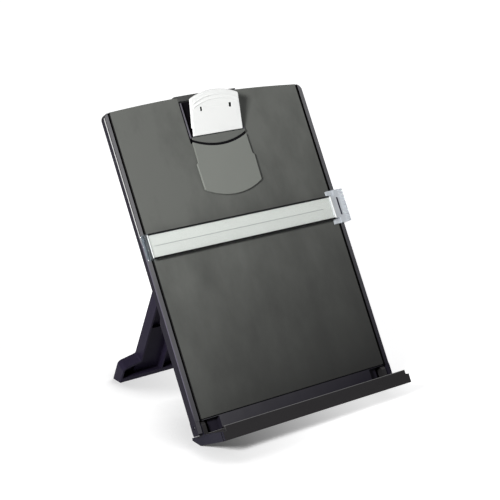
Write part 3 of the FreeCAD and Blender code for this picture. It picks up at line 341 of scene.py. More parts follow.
# %% [markdown]
# ## Masks from the place on the object
# Most marks of use sit at a known place.  `along` gives a point's distance in one direction; a
# ramp on it is a soft border, and `within` is a stripe.  `overlaid` lays a colour over a
# finish where its mask is 1, so that marks can be stacked one by one.

# %% Helpers for masks
def overlaid(finish, mask, tone):
    """Lay a colour over a finish where its mask is 1."""
    tree = finish.node_tree
    shader = tree.nodes["Principled BSDF"]
    base = shader.inputs["Base Color"].links[0].from_socket
    plug(tree, shader, "Base Color", mixed(tree, mask, base, tone))


def along(tree, direction):
    """How far a point of the object lies along a direction, in metres."""
    return dot(tree, on_object(tree), direction)


def within(tree, value, middle, half):
    """1 where a value is no more than half away from the middle, else 0."""
    return calc(tree, "COMPARE", value, middle, half)


def painted_sheen_mask(tree):
    """The mask of the painted sheen."""
    return node_in(tree, "ShaderNodeGroup", {"node_tree": sheen_group}).outputs["Mask"]


print("mask helpers ready")

# %% [markdown]
# ## Panel and rails
# Both start from the plastic recipe and take the painted sheen of the group above.  The lips of the two
# grooves get a painted dark shade.  The rail's outer edge is turned over a small radius, and a light
# line is painted along it.  Above the guide that painted highlight is bright, with a thin painted dark
# line inside it where the radius starts.  Below the guide the painted line is dull and violet.
# Faces that look up the board, such as its top edge, are painted darker still, a painted shade.

# %% Painted light and shade of the rails
GROOVE_MIDDLE = 113.4 * MM
GROOVE_HALF = 1.4 * MM
EDGE_FADE = 14  # these two in millimetres up the board
ABOVE_GUIDE = 172


# Painted shade: a dark band along both grooves.
def painted_groove_shade(finish):
    """Paint a dark shade on the lips of both grooves, so that they read as deep and black."""
    tree = finish.node_tree
    outwards = calc(tree, "ABSOLUTE", along(tree, SIDEWAYS))
    overlaid(finish, within(tree, outwards, GROOVE_MIDDLE, GROOVE_HALF), 0.0015)


# Painted light and shade: lines drawn up the rail's outer edge.
def painted_edge_line(finish, middle, half, start, tone):
    """Paint a highlight line up a rail's outer edge from a start, on the face that looks to the reader; a dark
    tone makes it a shade line.
    """
    tree = finish.node_tree
    front = ramp(tree, dot(tree, surface_normal(tree), OUT_OF_BOARD), 0.2, 0.4)
    above = ramp(tree, along(tree, UP_BOARD), FOOT_UP + start * MM, FOOT_UP + (start + EDGE_FADE) * MM)
    stripe = within(tree, along(tree, SIDEWAYS), middle * MM, half * MM)
    overlaid(finish, calc(tree, "MULTIPLY", stripe, calc(tree, "MULTIPLY", front, above)), tone)


print("rail marks ready")

# %% Panel and rail finishes
panel_plastic = moulded("panel_plastic", (0.0085, 0.0083, 0.0085), (0.0055, 0.0054, 0.0055), 0.46, 0.010,
                        cloud=16.0, mirror=0.16, gloss_cloud=0.16)
# Painted sheen: grey laid over the panel's lit front.
overlaid(panel_plastic, painted_sheen_mask(panel_plastic.node_tree), (0.116, 0.120, 0.111))
painted_groove_shade(panel_plastic)

rail_plastic = moulded("rail_plastic", (0.0155, 0.0138, 0.0212), (0.0115, 0.0102, 0.0158), 0.36, 0.012,
                       mirror=0.03)
tree = rail_plastic.node_tree
# Painted sheen: grey laid over the rail's front face.
foremost = ramp(tree, along(tree, OUT_OF_BOARD), FACE_OUT - 1.5 * MM, FACE_OUT - 0.5 * MM)
overlaid(rail_plastic, calc(tree, "MULTIPLY", painted_sheen_mask(tree), foremost), (0.135, 0.134, 0.140))
painted_groove_shade(rail_plastic)
# Painted shade: faces that look up the board are darkened to near black.
overlaid(rail_plastic, ramp(tree, dot(tree, surface_normal(tree), UP_BOARD), 0.12, 0.35), 0.003)
# A dull violet painted highlight the full height; above the guide a painted dark line and a bright painted
# highlight.
painted_edge_line(rail_plastic, -119.5, 0.4, 0, (0.080, 0.074, 0.098))
painted_edge_line(rail_plastic, -118.75, 0.35, ABOVE_GUIDE, 0.012)
painted_edge_line(rail_plastic, -119.55, 0.45, ABOVE_GUIDE, 0.36)
print("finishes:", panel_plastic.name, rail_plastic.name)

# %% [markdown]
# ## The clip's housing
# The housing and the arm behind the clip's lever get a deeper, matt black than the other mouldings,
# a painted shade for parts that sit in shadow.  The top of the housing gets a paler painted sheen,
# and the crests of its side walls, which stand in front of the panel, a painted highlight.

# %% Housing finishes
HOUSING_TOP = FOOT_UP + 305 * MM
HOUSING_CREST = FACE_OUT + 1.2 * MM
# Painted shade: a darker black than the other mouldings, for parts that sit in shadow.
arm_painted_shade, housing_painted_light = [
    moulded(name, (0.0050, 0.0045, 0.0060), (0.0034, 0.0030, 0.0042), 0.62, 0.016, mirror=0.05)
    for name in ("arm_painted_shade", "housing_painted_light")]
tree = housing_painted_light.node_tree
# Painted sheen on the top of the housing.
overlaid(housing_painted_light, ramp(tree, along(tree, UP_BOARD), HOUSING_TOP, HOUSING_TOP + 1 * MM),
         (0.075, 0.076, 0.074))
# Painted highlight on the crests of the side walls.
overlaid(housing_painted_light, ramp(tree, along(tree, OUT_OF_BOARD), HOUSING_CREST, HOUSING_CREST + 0.3 * MM),
         (0.13, 0.125, 0.145))
print("finishes:", arm_painted_shade.name, housing_painted_light.name)

# %% [markdown]
# ## The ledge
# Sheets are pushed along the ledge, so a noise stretched in X combs pale lines into its floor.
# They lie only on faces that look up, so they are scuffs and a painted light at once.
# The two end caps get a darker, violet black, a painted shade.  The top edge of the lip
# gets a grey line, a painted highlight.

# %% Ledge finish
CAP_FROM = 113.6 * MM
LIP_CREST = FOOT_UP - 12.1 * MM
LIP_FRONT = FACE_OUT + 29 * MM
ledge_plastic = moulded("ledge_plastic", (0.0215, 0.0203, 0.0215), (0.0150, 0.0142, 0.0150), 0.42, 0.014,
                        dust_amount=0.03, mirror=0.08)
tree = ledge_plastic.node_tree
combed = ramp(tree, noise(tree, stretched(tree, on_object(tree), (3.0, 420.0, 420.0)), 1.0, 2.0), 0.38, 0.60)
floors = ramp(tree, dot(tree, surface_normal(tree), UPWARDS), 0.6, 0.95)
between_caps = within(tree, along(tree, SIDEWAYS), 0.0, CAP_FROM)
# Scuff lines, laid as a painted light on the upward faces between the caps.
scuffed_and_lit = calc(tree, "MULTIPLY", calc(tree, "MULTIPLY", floors, combed), between_caps)
overlaid(ledge_plastic, scuffed_and_lit, (0.056, 0.053, 0.053))
# Painted shade: a darker violet black on the end caps.
overlaid(ledge_plastic, calc(tree, "SUBTRACT", 1.0, between_caps), (0.0090, 0.0080, 0.0155))
# Painted highlight along the top edge of the lip.
crest_highlight = calc(tree, "MULTIPLY", ramp(tree, along(tree, UP_BOARD), LIP_CREST, LIP_CREST + 0.4 * MM),
             ramp(tree, along(tree, OUT_OF_BOARD), LIP_FRONT, LIP_FRONT + 1 * MM))
overlaid(ledge_plastic, crest_highlight, 0.13)
print("finish:", ledge_plastic.name)

# %% [markdown]
# ## The guide's bar
# The bar is a pale strip under a clear cover.  Its reading line is scribed along the middle and
# stops short of both ends, and the half below it is a touch darker, so the eye keeps to the
# upper half.  A faint grain runs along the bar, as in brushed sheet.
# The line is a narrow band in the height up the board, and a second band in X ends it.
# Compare nodes turn both into masks.

# %% Bar finish
BAR_UP = 169.5
LINE_UP = FOOT_UP + BAR_UP * MM
LINE_HALF = 0.32 * MM
LINE_MID = -7.2 * MM
LINE_END = 102.8 * MM
guide_pale = moulded("guide_pale", (0.66, 0.69, 0.645), (0.62, 0.65, 0.61), 0.5, 0.004, dust_amount=0.0,
                     mirror=0.2)
tree = guide_pale.node_tree
streaks = noise(tree, stretched(tree, on_object(tree), (8.0, 900.0, 900.0)), 1.0, 2.0)
overlaid(guide_pale, ramp(tree, streaks, high=0.12), (0.46, 0.49, 0.46))
height = along(tree, UP_BOARD)
lower_half = ramp(tree, height, LINE_UP + 0.1 * MM, LINE_UP - 0.1 * MM, high=0.10)
overlaid(guide_pale, lower_half, (0.40, 0.42, 0.40))
line = calc(tree, "MULTIPLY", within(tree, height, LINE_UP, LINE_HALF),
            within(tree, along(tree, SIDEWAYS), LINE_MID, LINE_END))
overlaid(guide_pale, line, (0.30, 0.32, 0.31))
print("bar finish:", guide_pale.name)

# %% [markdown]
# ## The bar's cover
# The cover is a clear sheet folded over the strip's long edges.  Looked at from the front, the
# sheet is hardly there.  So its finish is nearly see-through by Alpha, which needs no bent rays in so
# thin a sheet.  At the folds it goes over to a dark, closed edge: a painted shade that draws the
# dark line of shadow along the bar's edges.

# %% Cover finish
FOLD_AT = 10.9 * MM
cover_clear = moulded("cover_clear", (0.80, 0.83, 0.84), (0.76, 0.79, 0.80), 0.16, 0.002, dust_amount=0.0,
                      mirror=0.12)
tree = cover_clear.node_tree
# Painted shade: a dark, closed edge at the folds.
fold_shade = calc(tree, "SUBTRACT", 1.0, within(tree, along(tree, UP_BOARD), LINE_UP, FOLD_AT))
overlaid(cover_clear, fold_shade, (0.004, 0.004, 0.005))
plug(tree, tree.nodes["Principled BSDF"], "Alpha", ramp(tree, fold_shade, low=0.08, high=0.92))
print("cover finish:", cover_clear.name)

# %% [markdown]
# ## Clear acrylic
# Clear acrylic is a Principled shader with full transmission and a trace of roughness from its
# mould.  A path tracer finds lamps behind glass only by luck, which leaves bright specks on what
# lies behind it.  So for shadow rays alone, a Light Path node swaps the glass for a plain
# Transparent shader: the lamps shine straight through, as they nearly do through a thin sheet.
# It comes in two kinds.  The clear one passes nearly all light.  The milky one, for the finger
# grip, passes a third and scatters the rest, as fine ribs on a thick moulding do.

# %% Clear and milky plastic
def clear_finish(name, tint, through):
    """Clear moulded plastic with a faint tint; through is the share of light that passes it."""
    finish, tree, shader = new_finish(name)
    ripple = noise(tree, on_object(tree), 120.0, 1.0)
    plug(tree, shader, "Base Color", colour(tint))
    plug(tree, shader, "Transmission Weight", through)
    plug(tree, shader, "IOR", 1.45)
    plug(tree, shader, "Roughness", ramp(tree, ripple, low=0.02, high=0.06))
    passed_on = node_in(tree, "ShaderNodeBsdfTransparent", Color=colour((0.90, 0.92, 0.93)))
    shadow_ray = node_in(tree, "ShaderNodeLightPath").outputs["Is Shadow Ray"]
    either = numbered(shadow_ray, shader.outputs[0], passed_on.outputs[0])
    surface = node_in(tree, "ShaderNodeMixShader", **either).outputs[0]
    plug(tree, tree.nodes["Material Output"], "Surface", surface)
    return finish


clear_plastic = clear_finish("clear_plastic", (0.50, 0.56, 0.62), 0.97)
milky_plastic = clear_finish("milky_plastic", (0.545, 0.57, 0.60), 0.38)
print("clear finishes:", clear_plastic.name, milky_plastic.name)

# %% [markdown]
# ## Steel and rubber
# Spring wire and pins are drawn, zinc-plated steel, so their grain runs along them.  The pads
# are soft black rubber, rough and slightly dusty.

# %% Steel, rubber and the table of finishes
steel, tree, shader = new_finish("steel")
drawn = noise(tree, stretched(tree, on_object(tree), (60.0, 2400.0, 2400.0)), 1.0, 3.0)
bump = node_in(tree, "ShaderNodeBump", Height=drawn, Strength=0.4, Distance=0.01 * MM)
plug(tree, shader, "Metallic", 1.0)
plug(tree, shader, "Base Color", mixed(tree, drawn, (0.27, 0.28, 0.30), (0.40, 0.41, 0.43)))
plug(tree, shader, "Roughness", ramp(tree, drawn, low=0.24, high=0.42))
plug(tree, shader, "Normal", bump.outputs[0])

rubber = moulded("rubber", (0.016,) * 3, (0.010,) * 3, 0.78, 0.04, dust_amount=0.2, rub_amount=0.1)
FINISHES = {"black_plastic": black_plastic, "panel_plastic": panel_plastic, "clip_grey": clip_grey,
            "clip_white": clip_white, "guide_pale": guide_pale, "clear_plastic": clear_plastic,
            "steel": steel, "rubber": rubber}
print("finishes:", len(FINISHES))

# %% [markdown]
# ## Giving each solid its finish
# The record names a material slot for every solid, so one loop paints them all.  A few solids
# share a slot with others but are used in their own way, so they have a finish of their own.

# %% Finish every solid of the frame
SLOT_OF = {part["node"]: part["material_slot"] for part in frame["record"]["subparts"]}
BODY_OF = {node: body for body, nodes in frame["record"]["behaviour"]["bodies"].items() for node in nodes}
SPECIAL = {"clip_base": housing_painted_light, "clip_arm": arm_painted_shade, "clip_bridge_cover": bridge_grey,
           "board_frame": rail_plastic, "ledge_tray": ledge_plastic, "ledge_lip": ledge_plastic,
           "guide_cover": cover_clear, "guide_right_runner": milky_plastic}


def finish_of(node):
    """The finish of a solid: its own where it has one, else that of its slot."""
    return SPECIAL.get(node, FINISHES[SLOT_OF[node]])


for node, solid in frame["nodes"].items():
    for material_slot in solid.material_slots:
        material_slot.material = finish_of(node)
print("painted", len(frame["nodes"]), "solids")

# %% [markdown]
# ## Softened edges
# No moulding has a knife edge.  The thin bright line that runs along each edge is what makes
# plastic look like plastic, so the large mouldings get a small rounding.
# A solid of the frame is never changed.  A copy is merged, its flat faces are joined again, and
# a Bevel modifier rounds its corners; the copy then stands for the solid.
# Only corners sharper than a limit are rounded, so the facets of an arc stay as they are.
# The strip and its clear cover lie face to face, and a ray can't tell which of two equal
# faces comes first, so a Displace modifier draws each of them in by a few hundredths first.
# A Weighted Normal modifier then lets each large face keep its own direction, so the shading
# turns inside the narrow rounding and not across the face.

# %% Helpers for rounded copies
CORNER_LIMIT = math.radians(34.0)
FLAT_WITHIN = math.radians(0.6)
WELD_WITHIN = 1e-6


def modified(piece, name, kind, **settings):
    """Add a modifier with its settings."""
    modifier = piece.modifiers.new(name, kind)
    for field, value in settings.items():
        setattr(modifier, field, value)


def to_kit(piece, body, stands_for):
    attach(piece, body)
    for node in stands_for:
        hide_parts(node)


def rounded_copy(node, radius, clearance):
    """Copy a solid, draw it in by a clearance and round its corners, both in millimetres."""
    work = bmesh.new()
    work.from_mesh(frame["nodes"][node].data)
    bmesh.ops.remove_doubles(work, verts=work.verts, dist=WELD_WITHIN)
    bmesh.ops.dissolve_limit(work, angle_limit=FLAT_WITHIN, verts=work.verts, edges=work.edges)
    mesh = bpy.data.meshes.new(node + "_rounded")
    work.to_mesh(mesh)
    work.free()
    mesh.materials.append(finish_of(node))
    mesh.shade_smooth()
    piece = in_scene(node + "_rounded", mesh)
    if clearance:
        modified(piece, "clearance", "DISPLACE", strength=-clearance * MM, mid_level=0.0)
    modified(piece, "edge", "BEVEL", width=radius * MM, segments=2, limit_method="ANGLE",
             angle_limit=CORNER_LIMIT, harden_normals=True, use_clamp_overlap=True)
    modified(piece, "even", "WEIGHTED_NORMAL", keep_sharp=True)
    to_kit(piece, BODY_OF[node], (node,))
    print(piece.name, len(mesh.polygons), "faces before rounding")


# %% Rounded copies of the mouldings
EDGE_RADII = {"board_frame": 0.35, "front_panel": 0.2, "ledge_tray": 0.1, "ledge_lip": 0.2, "leg_shell": 0.4,
              "leg_hinge_bracket": 0.25, "clip_base": 0.2, "clip_arm": 0.2, "clip_lever_cap": 0.2,
              "clip_bridge_cover": 0.15, "jaw_cover": 0.15, "guide_strip": 0.1, "guide_cover": 0.15,
              "guide_left_runner": 0.15, "guide_right_runner": 0.15}
CLEARANCES = {"guide_strip": 0.06, "guide_cover": 0.03}
for node, radius in EDGE_RADII.items():
    rounded_copy(node, radius, CLEARANCES.get(node, 0.0))

# %% [markdown]
# ## Growing small parts with Geometry Nodes
# Springs, screws, rivets and ribs repeat one shape, or follow a rule. A node tree with named
# sizes is the honest way to make them: change one number and every coil or rib follows.
# `grown` puts such a tree on an empty object, fills in its sizes by each socket's identifier,
# reads back the finished mesh and takes the object away again.

# %% Helpers for grown pieces
SHAPE = {"Geometry": "NodeSocketGeometry"}
VECTOR = "NodeSocketVector"
WHOLE = "NodeSocketInt"
FINISH_INPUT = {"Finish": ("NodeSocketMaterial", None)}
CREASE = math.radians(40)


def grown(tree, sizes):
    """The mesh that a tree makes from its sizes."""
    host = in_scene(tree.name + "_host", bpy.data.meshes.new(tree.name))
    growth = host.modifiers.new("grow", "NODES")
    growth.node_group = tree
    for socket in tree.interface.items_tree:
        if socket.item_type == "SOCKET" and socket.in_out == "INPUT" and socket.name in sizes:
            growth[socket.identifier] = sizes[socket.name]
    mesh = bpy.data.meshes.new_from_object(host.evaluated_get(bpy.context.evaluated_depsgraph_get()))
    bpy.data.objects.remove(host)
    return mesh


def hand_over(name, meshes, place, body, slot, stands_for=(), finish=None):
    work = bmesh.new()
    for mesh in meshes:
        work.from_mesh(mesh)
    joined = bpy.data.meshes.new(name)
    work.to_mesh(joined)
    work.free()
    joined.materials.append(finish or FINISHES[slot])
    joined.transform(place)
    joined.shade_smooth()
    joined.set_sharp_from_angle(angle=CREASE)
    to_kit(in_scene(name, joined), body, stands_for)
    print(name, "rides on", body, "with", len(joined.polygons), "faces")


print("growing helpers ready")

# %% [markdown]
# ## Words for shapes
# The trees share a few steps: sweep a wire along a path, move a shape, lay out a row of points
# and put a shape on each of them.  These get one word each too.  Every tree ends the same way:
# its instances become real, and they take the finish.

# %% Words for shape trees
WIRE_SIDES = 8


def wire_along(tree, path, radius):
    """A round wire with closed ends, swept along a path."""
    circle = node_in(tree, "GeometryNodeCurvePrimitiveCircle", Resolution=WIRE_SIDES, Radius=radius)
    return node_in(tree, "GeometryNodeCurveToMesh", Curve=path, Profile_Curve=circle.outputs[0],
                   Fill_Caps=True).outputs[0]


def moved(tree, shape, **how):
    """A shape moved, turned or scaled."""
    return node_in(tree, "GeometryNodeTransform", Geometry=shape, **how).outputs[0]


def points_at(tree, shape, position):
    """A shape with its points put somewhere else."""
    return node_in(tree, "GeometryNodeSetPosition", Geometry=shape, Position=position).outputs[0]


def row_of(tree, count, start, step):
    """Points in a row, each a step further than the last."""
    return node_in(tree, "GeometryNodeMeshLine", Count=count, Start_Location=start, Offset=step).outputs[0]


def on_each(tree, points, shape, turn):
    """A turned copy of a shape on each point."""
    return node_in(tree, "GeometryNodeInstanceOnPoints", Points=points, Instance=shape,
                   Rotation=turn).outputs[0]


def end_tree(tree, shape, group_in, group_out):
    """Close a tree: realize its instances and give them the finish."""
    real = node_in(tree, "GeometryNodeRealizeInstances", Geometry=shape).outputs[0]
    dressed = node_in(tree, "GeometryNodeSetMaterial", Geometry=real, Material=group_in.outputs["Finish"])
    plug(tree, group_out, "#0", dressed.outputs[0])
    print("tree", tree.name, "has", len(tree.nodes), "nodes")


print("shape words ready")

# %% [markdown]
# ## The clip's springs
# Two torsion springs close the clip.  Each is a coil of wire on the pivot pin, with one leg
# that lies on the clip's base and one that presses the lever from behind.
# A helix is a rule, not a sculpture: along a straight curve, each point is sent round the pin
# by its share of the full turn.  A circle swept along that path is the wire.
# The coil and its base leg stay with the board.  The lever leg belongs to the rocker, and
# leaves the coil where it would bend in the real spring.

# %% Tree: coil of wire round an axis
coil, coil_in, coil_out = new_group(
    "wire_coil", "GeometryNodeTree",
    {"Left end": (FLOAT, 0.0), "Right end": (FLOAT, 0.01), "Axis height": (FLOAT, 0.0),
     "Coil radius": (FLOAT, 0.002), "Wire radius": (FLOAT, 0.0004), "From turn": (FLOAT, 0.0),
     "To turn": (FLOAT, 30.0), "Points": (WHOLE, 150), **FINISH_INPUT}, SHAPE)
given = coil_in.outputs
straight = node_in(coil, "GeometryNodeCurvePrimitiveLine").outputs[0]
path = node_in(coil, "GeometryNodeResampleCurve", Curve=straight, Count=given["Points"]).outputs[0]
share = node_in(coil, "GeometryNodeSplineParameter").outputs["Factor"]
angle = ramp(coil, share, low=given["From turn"], high=given["To turn"])
across = ramp(coil, share, low=given["Left end"], high=given["Right end"])
back = calc(coil, "MULTIPLY", calc(coil, "COSINE", angle), given["Coil radius"])
up = calc(coil, "MULTIPLY_ADD", calc(coil, "SINE", angle), given["Coil radius"], given["Axis height"])
helix = points_at(coil, path, combined(coil, X=across, Y=back, Z=up))
end_tree(coil, wire_along(coil, helix, given["Wire radius"]), coil_in, coil_out)

# %% Tree: straight wire between two points
strand, strand_in, strand_out = new_group(
    "straight_wire", "GeometryNodeTree",
    {"From": (VECTOR, None), "To": (VECTOR, None), "Wire radius": (FLOAT, 0.0004), **FINISH_INPUT}, SHAPE)
given = strand_in.outputs
run = node_in(strand, "GeometryNodeCurvePrimitiveLine", Start=given["From"], End=given["To"]).outputs[0]
end_tree(strand, wire_along(strand, run, given["Wire radius"]), strand_in, strand_out)

# %% Springs
PIN_Z = PIN_UP_BOARD * MM
COIL_R = 1.7 * MM
WIRE_R = 0.4 * MM
COIL_HALF = 2.4 * MM
SPRING_X = 12.0 * MM
LEG_L = 13.0 * MM
BASE_LEG = math.radians(2.42)
LEVER_LEG = math.radians(20.44)
FULL_TURNS = 5
wire = {"Wire radius": WIRE_R, "Finish": steel}
coils, lever_legs = [], []
for side in (-1, 1):
    coils.append(grown(coil, {
        "Left end": side * (SPRING_X - COIL_HALF), "Right end": side * (SPRING_X + COIL_HALF),
        "Axis height": PIN_Z, "Coil radius": COIL_R, "From turn": LEVER_LEG - math.pi,
        "To turn": BASE_LEG + FULL_TURNS * math.tau, **wire}))
    for angle, end, meshes in ((BASE_LEG, 1, coils), (LEVER_LEG, -1, lever_legs)):
        foot = Vector((side * (SPRING_X + end * COIL_HALF), end * COIL_R * math.cos(angle),
                       PIN_Z + end * COIL_R * math.sin(angle)))
        tip = foot + LEG_L * Vector((0, -math.sin(angle), math.cos(angle)))
        meshes.append(grown(strand, {"From": foot, "To": tip, **wire}))
hand_over("clip_spring_coils", coils, BOARD, "board", "steel", ("clip_spring_left", "clip_spring_right"))
hand_over("clip_spring_lever_legs", lever_legs, BOARD, "clip", "steel")

# %% [markdown]
# ## Cross-recess screws
# Four pan-head screws hold the leg's hinge bracket to the board, sunk into round pockets so that
# nothing scratches a hand.  A cylinder that narrows a little is the head, and two crossed bars
# are taken out of its face by a Mesh Boolean.  The finished head is then placed on the corners
# of a two-by-two grid, which is how the bracket is drilled.

# %% Tree: sunk heads with a cross
CROSS_LONG = 3.0 * MM
CROSS_WIDE = 0.6 * MM
CROSS_DEEP = 1.2 * MM
CROSS_LIFT = 1.0 * MM
heads, heads_in, heads_out = new_group(
    "cross_heads", "GeometryNodeTree",
    {"Head radius": (FLOAT, 0.0024), "Rim radius": (FLOAT, 0.0021), "Head depth": (FLOAT, 0.0008),
     "Spread across": (FLOAT, 0.1), "Spread up": (FLOAT, 0.02), "Face": (FLOAT, 0.0), "Height": (FLOAT, 0.0),
     **FINISH_INPUT}, SHAPE)
given = heads_in.outputs
cone = node_in(heads, "GeometryNodeMeshCone", Vertices=28, Radius_Top=given["Rim radius"],
               Radius_Bottom=given["Head radius"], Depth=given["Head depth"]).outputs[0]
bored = node_in(heads, "GeometryNodeMeshBoolean", {"operation": "DIFFERENCE"}, Mesh_1=cone)
for width, length in ((CROSS_LONG, CROSS_WIDE), (CROSS_WIDE, CROSS_LONG)):
    arm = node_in(heads, "GeometryNodeMeshCube", Size=(width, length, CROSS_DEEP)).outputs[0]
    plug(heads, bored, "Mesh 2", moved(heads, arm, Translation=(0, 0, CROSS_LIFT)))
drill = node_in(heads, "GeometryNodeMeshGrid", Size_X=given["Spread across"], Size_Y=given["Spread up"],
                Vertices_X=2, Vertices_Y=2).outputs[0]
upright = moved(heads, drill, Rotation=(math.pi / 2, 0, 0))
set_in = on_each(heads, upright, bored.outputs[0], (-math.pi / 2, 0, 0))
seat = combined(heads, Y=given["Face"], Z=given["Height"])
end_tree(heads, moved(heads, set_in, Translation=seat), heads_in, heads_out)

# %% Screws of the hinge bracket
screws = grown(heads, {"Head radius": 2.35 * MM, "Rim radius": 2.15 * MM, "Head depth": 0.78 * MM,
                       "Spread across": 120 * MM, "Spread up": 19 * MM, "Face": 6.2 * MM,
                       "Height": 174.4 * MM, "Finish": steel})
hand_over("bracket_screw_heads", [screws], BOARD, "board", "steel", ("bracket_screws",))

# %% [markdown]
# ## Rivets
# Two rivets hold the clip's base.  A rivet's head is a low dome: a sphere whose lower half is
# pressed flat, squeezed in height.  One tree serves the heads in front and those behind; only
# the way they face is different.

# %% Tree: low domes in a row
domes, domes_in, domes_out = new_group(
    "rivet_domes", "GeometryNodeTree",
    {"Radius": (FLOAT, 0.0028), "Rise": (FLOAT, 0.0008), "Spread": (FLOAT, 0.05), "Face": (FLOAT, 0.0),
     "Height": (FLOAT, 0.0), "Facing": (FLOAT, 0.0), **FINISH_INPUT}, SHAPE)
given = domes_in.outputs
ball = node_in(domes, "GeometryNodeMeshUVSphere", Segments=28, Rings=14, Radius=1.0).outputs[0]
spot = node_in(domes, "GeometryNodeInputPosition").outputs[0]
spot = node_in(domes, "ShaderNodeSeparateXYZ", Vector=spot).outputs
flat_below = combined(domes, X=spot["X"], Y=spot["Y"], Z=calc(domes, "MAXIMUM", spot["Z"], 0.0))
squeeze = combined(domes, X=given["Radius"], Y=given["Radius"], Z=given["Rise"])
head = moved(domes, points_at(domes, ball, flat_below), Scale=squeeze)
start = combined(domes, X=calc(domes, "MULTIPLY", given["Spread"], -0.5), Y=given["Face"], Z=given["Height"])
row = row_of(domes, 2, start, combined(domes, X=given["Spread"]))
end_tree(domes, on_each(domes, row, head, combined(domes, X=given["Facing"])), domes_in, domes_out)

# %% Rivets of the clip
rivet_sizes = {"Radius": 2.8 * MM, "Rise": 0.8 * MM, "Spread": 32 * MM, "Height": 294 * MM, "Finish": steel}
rivets = [grown(domes, {**rivet_sizes, "Face": face * MM, "Facing": turn * math.pi / 2})
          for face, turn in ((1.6, 1), (8.1, -1))]
hand_over("clip_rivet_heads", rivets, BOARD, "board", "steel", ("clip_rivets",))

# %% [markdown]
# ## Ribbed rubber pads
# The holder must not creep over the desk when a page is pulled off, so three rubber pads carry
# it.  Their undersides are ribbed, because narrow ribs grip better than a flat face.
# The tree lays half-sunk rods under a block.  The block and the rods keep inside the pad's
# own solid, so nothing reaches below the desk's surface.

# %% Tree: block on rows of ribs
ribbed, ribbed_in, ribbed_out = new_group(
    "ribbed_block", "GeometryNodeTree",
    {"Length": (FLOAT, 0.02), "Width": (FLOAT, 0.008), "Thickness": (FLOAT, 0.0012),
     "Rib radius": (FLOAT, 0.0004), "Ribs": (WHOLE, 6), "Corner": (VECTOR, None), **FINISH_INPUT}, SHAPE)
given = ribbed_in.outputs
half_length, half_width = [calc(ribbed, "MULTIPLY", given[size], 0.5) for size in ("Length", "Width")]
thick = calc(ribbed, "SUBTRACT", given["Thickness"], given["Rib radius"])
block = node_in(ribbed, "GeometryNodeMeshCube",
                Size=combined(ribbed, X=given["Length"], Y=given["Width"], Z=thick)).outputs[0]
lift = calc(ribbed, "MULTIPLY_ADD", thick, 0.5, given["Rib radius"])
block = moved(ribbed, block, Translation=combined(ribbed, X=half_length, Y=half_width, Z=lift))
rod = node_in(ribbed, "GeometryNodeMeshCylinder", Vertices=12, Radius=given["Rib radius"],
              Depth=given["Length"]).outputs[0]
pitch = calc(ribbed, "DIVIDE", given["Width"], given["Ribs"])
first = combined(ribbed, X=half_length, Y=calc(ribbed, "MULTIPLY", pitch, 0.5), Z=given["Rib radius"])
row = row_of(ribbed, given["Ribs"], first, combined(ribbed, Y=pitch))
ribs = on_each(ribbed, row, rod, (0, math.pi / 2, 0))
whole = node_in(ribbed, "GeometryNodeJoinGeometry")
for shape in (ribs, block):
    plug(ribbed, whole, "#0", shape)
end_tree(ribbed, moved(ribbed, whole.outputs[0], Translation=given["Corner"]), ribbed_in, ribbed_out)

# %% Pads under the ledge and the leg
for node in ("ledge_sole_pad", "leg_foot_pad_left", "leg_foot_pad_right"):
    spots = [vertex.co for vertex in frame["nodes"][node].data.vertices]
    low, high = [Vector([pick(spot[axis] for spot in spots) for axis in range(3)]) for pick in (min, max)]
    pad = grown(ribbed, {"Length": high.x - low.x, "Width": high.y - low.y, "Thickness": high.z - low.z,
                         "Rib radius": 0.4 * MM, "Ribs": 7, "Corner": low, "Finish": rubber})
    hand_over(node + "_ribbed", [pad], Matrix.Identity(4), BODY_OF[node], "rubber", (node,))

# %% [markdown]
# ## Fine ribs on the finger grip
# The guide is moved with one finger on its right-hand grip.  Between the moulded ribs, finer
# ones run up the board and catch the light as a shimmer.  The same tree of rods serves, with
# a block as thin as paper that lies inside the grip.

# %% Ribs of the finger grip
GRIP_LEFT = 120.4 * MM
GRIP_RIGHT = 125.6 * MM
GRIP_LOW = 153.6 * MM
GRIP_HIGH = 185.4 * MM
GRIP_FACE = -4.95 * MM
fine = grown(ribbed, {"Length": GRIP_HIGH - GRIP_LOW, "Width": GRIP_RIGHT - GRIP_LEFT, "Thickness": 0.6 * MM,
                      "Rib radius": 0.28 * MM, "Ribs": 5, "Corner": (0, 0, 0), "Finish": clear_plastic})
stand_up = Matrix(((0, 1, 0, GRIP_LEFT), (0, 0, 1, GRIP_FACE), (1, 0, 0, GRIP_LOW), (0, 0, 0, 1)))
fine.transform(stand_up)
hand_over("guide_grip_fine_ribs", [fine], BOARD, "guide", "clear_plastic", finish=milky_plastic)

# %% [markdown]
# ## The end of the bar
# A round pale bead closes each end of the bar, and on the right a dark keeper lies in the
# runner's slot and holds the leaf spring down.  All are straight rods, so the tree of the
# straight wire makes them too.

# %% Beads and keeper
for name, x, y, half_height, radius, slot in (
        ("guide_end_bead_left", -114.0, -4.6, 11.4, 0.5, "clip_white"),
        ("guide_end_bead_right", 107.9, -4.2, 11.2, 1.0, "clip_white"),
        ("guide_spring_keeper", 116.2, -3.8, 9.6, 1.3, "black_plastic")):
    foot, top = [Vector((x, y, BAR_UP + end * half_height)) * MM for end in (-1, 1)]
    rod = grown(strand, {"From": foot, "To": top, "Wire radius": radius * MM, "Finish": FINISHES[slot]})
    hand_over(name, [rod], BOARD, "guide", slot)

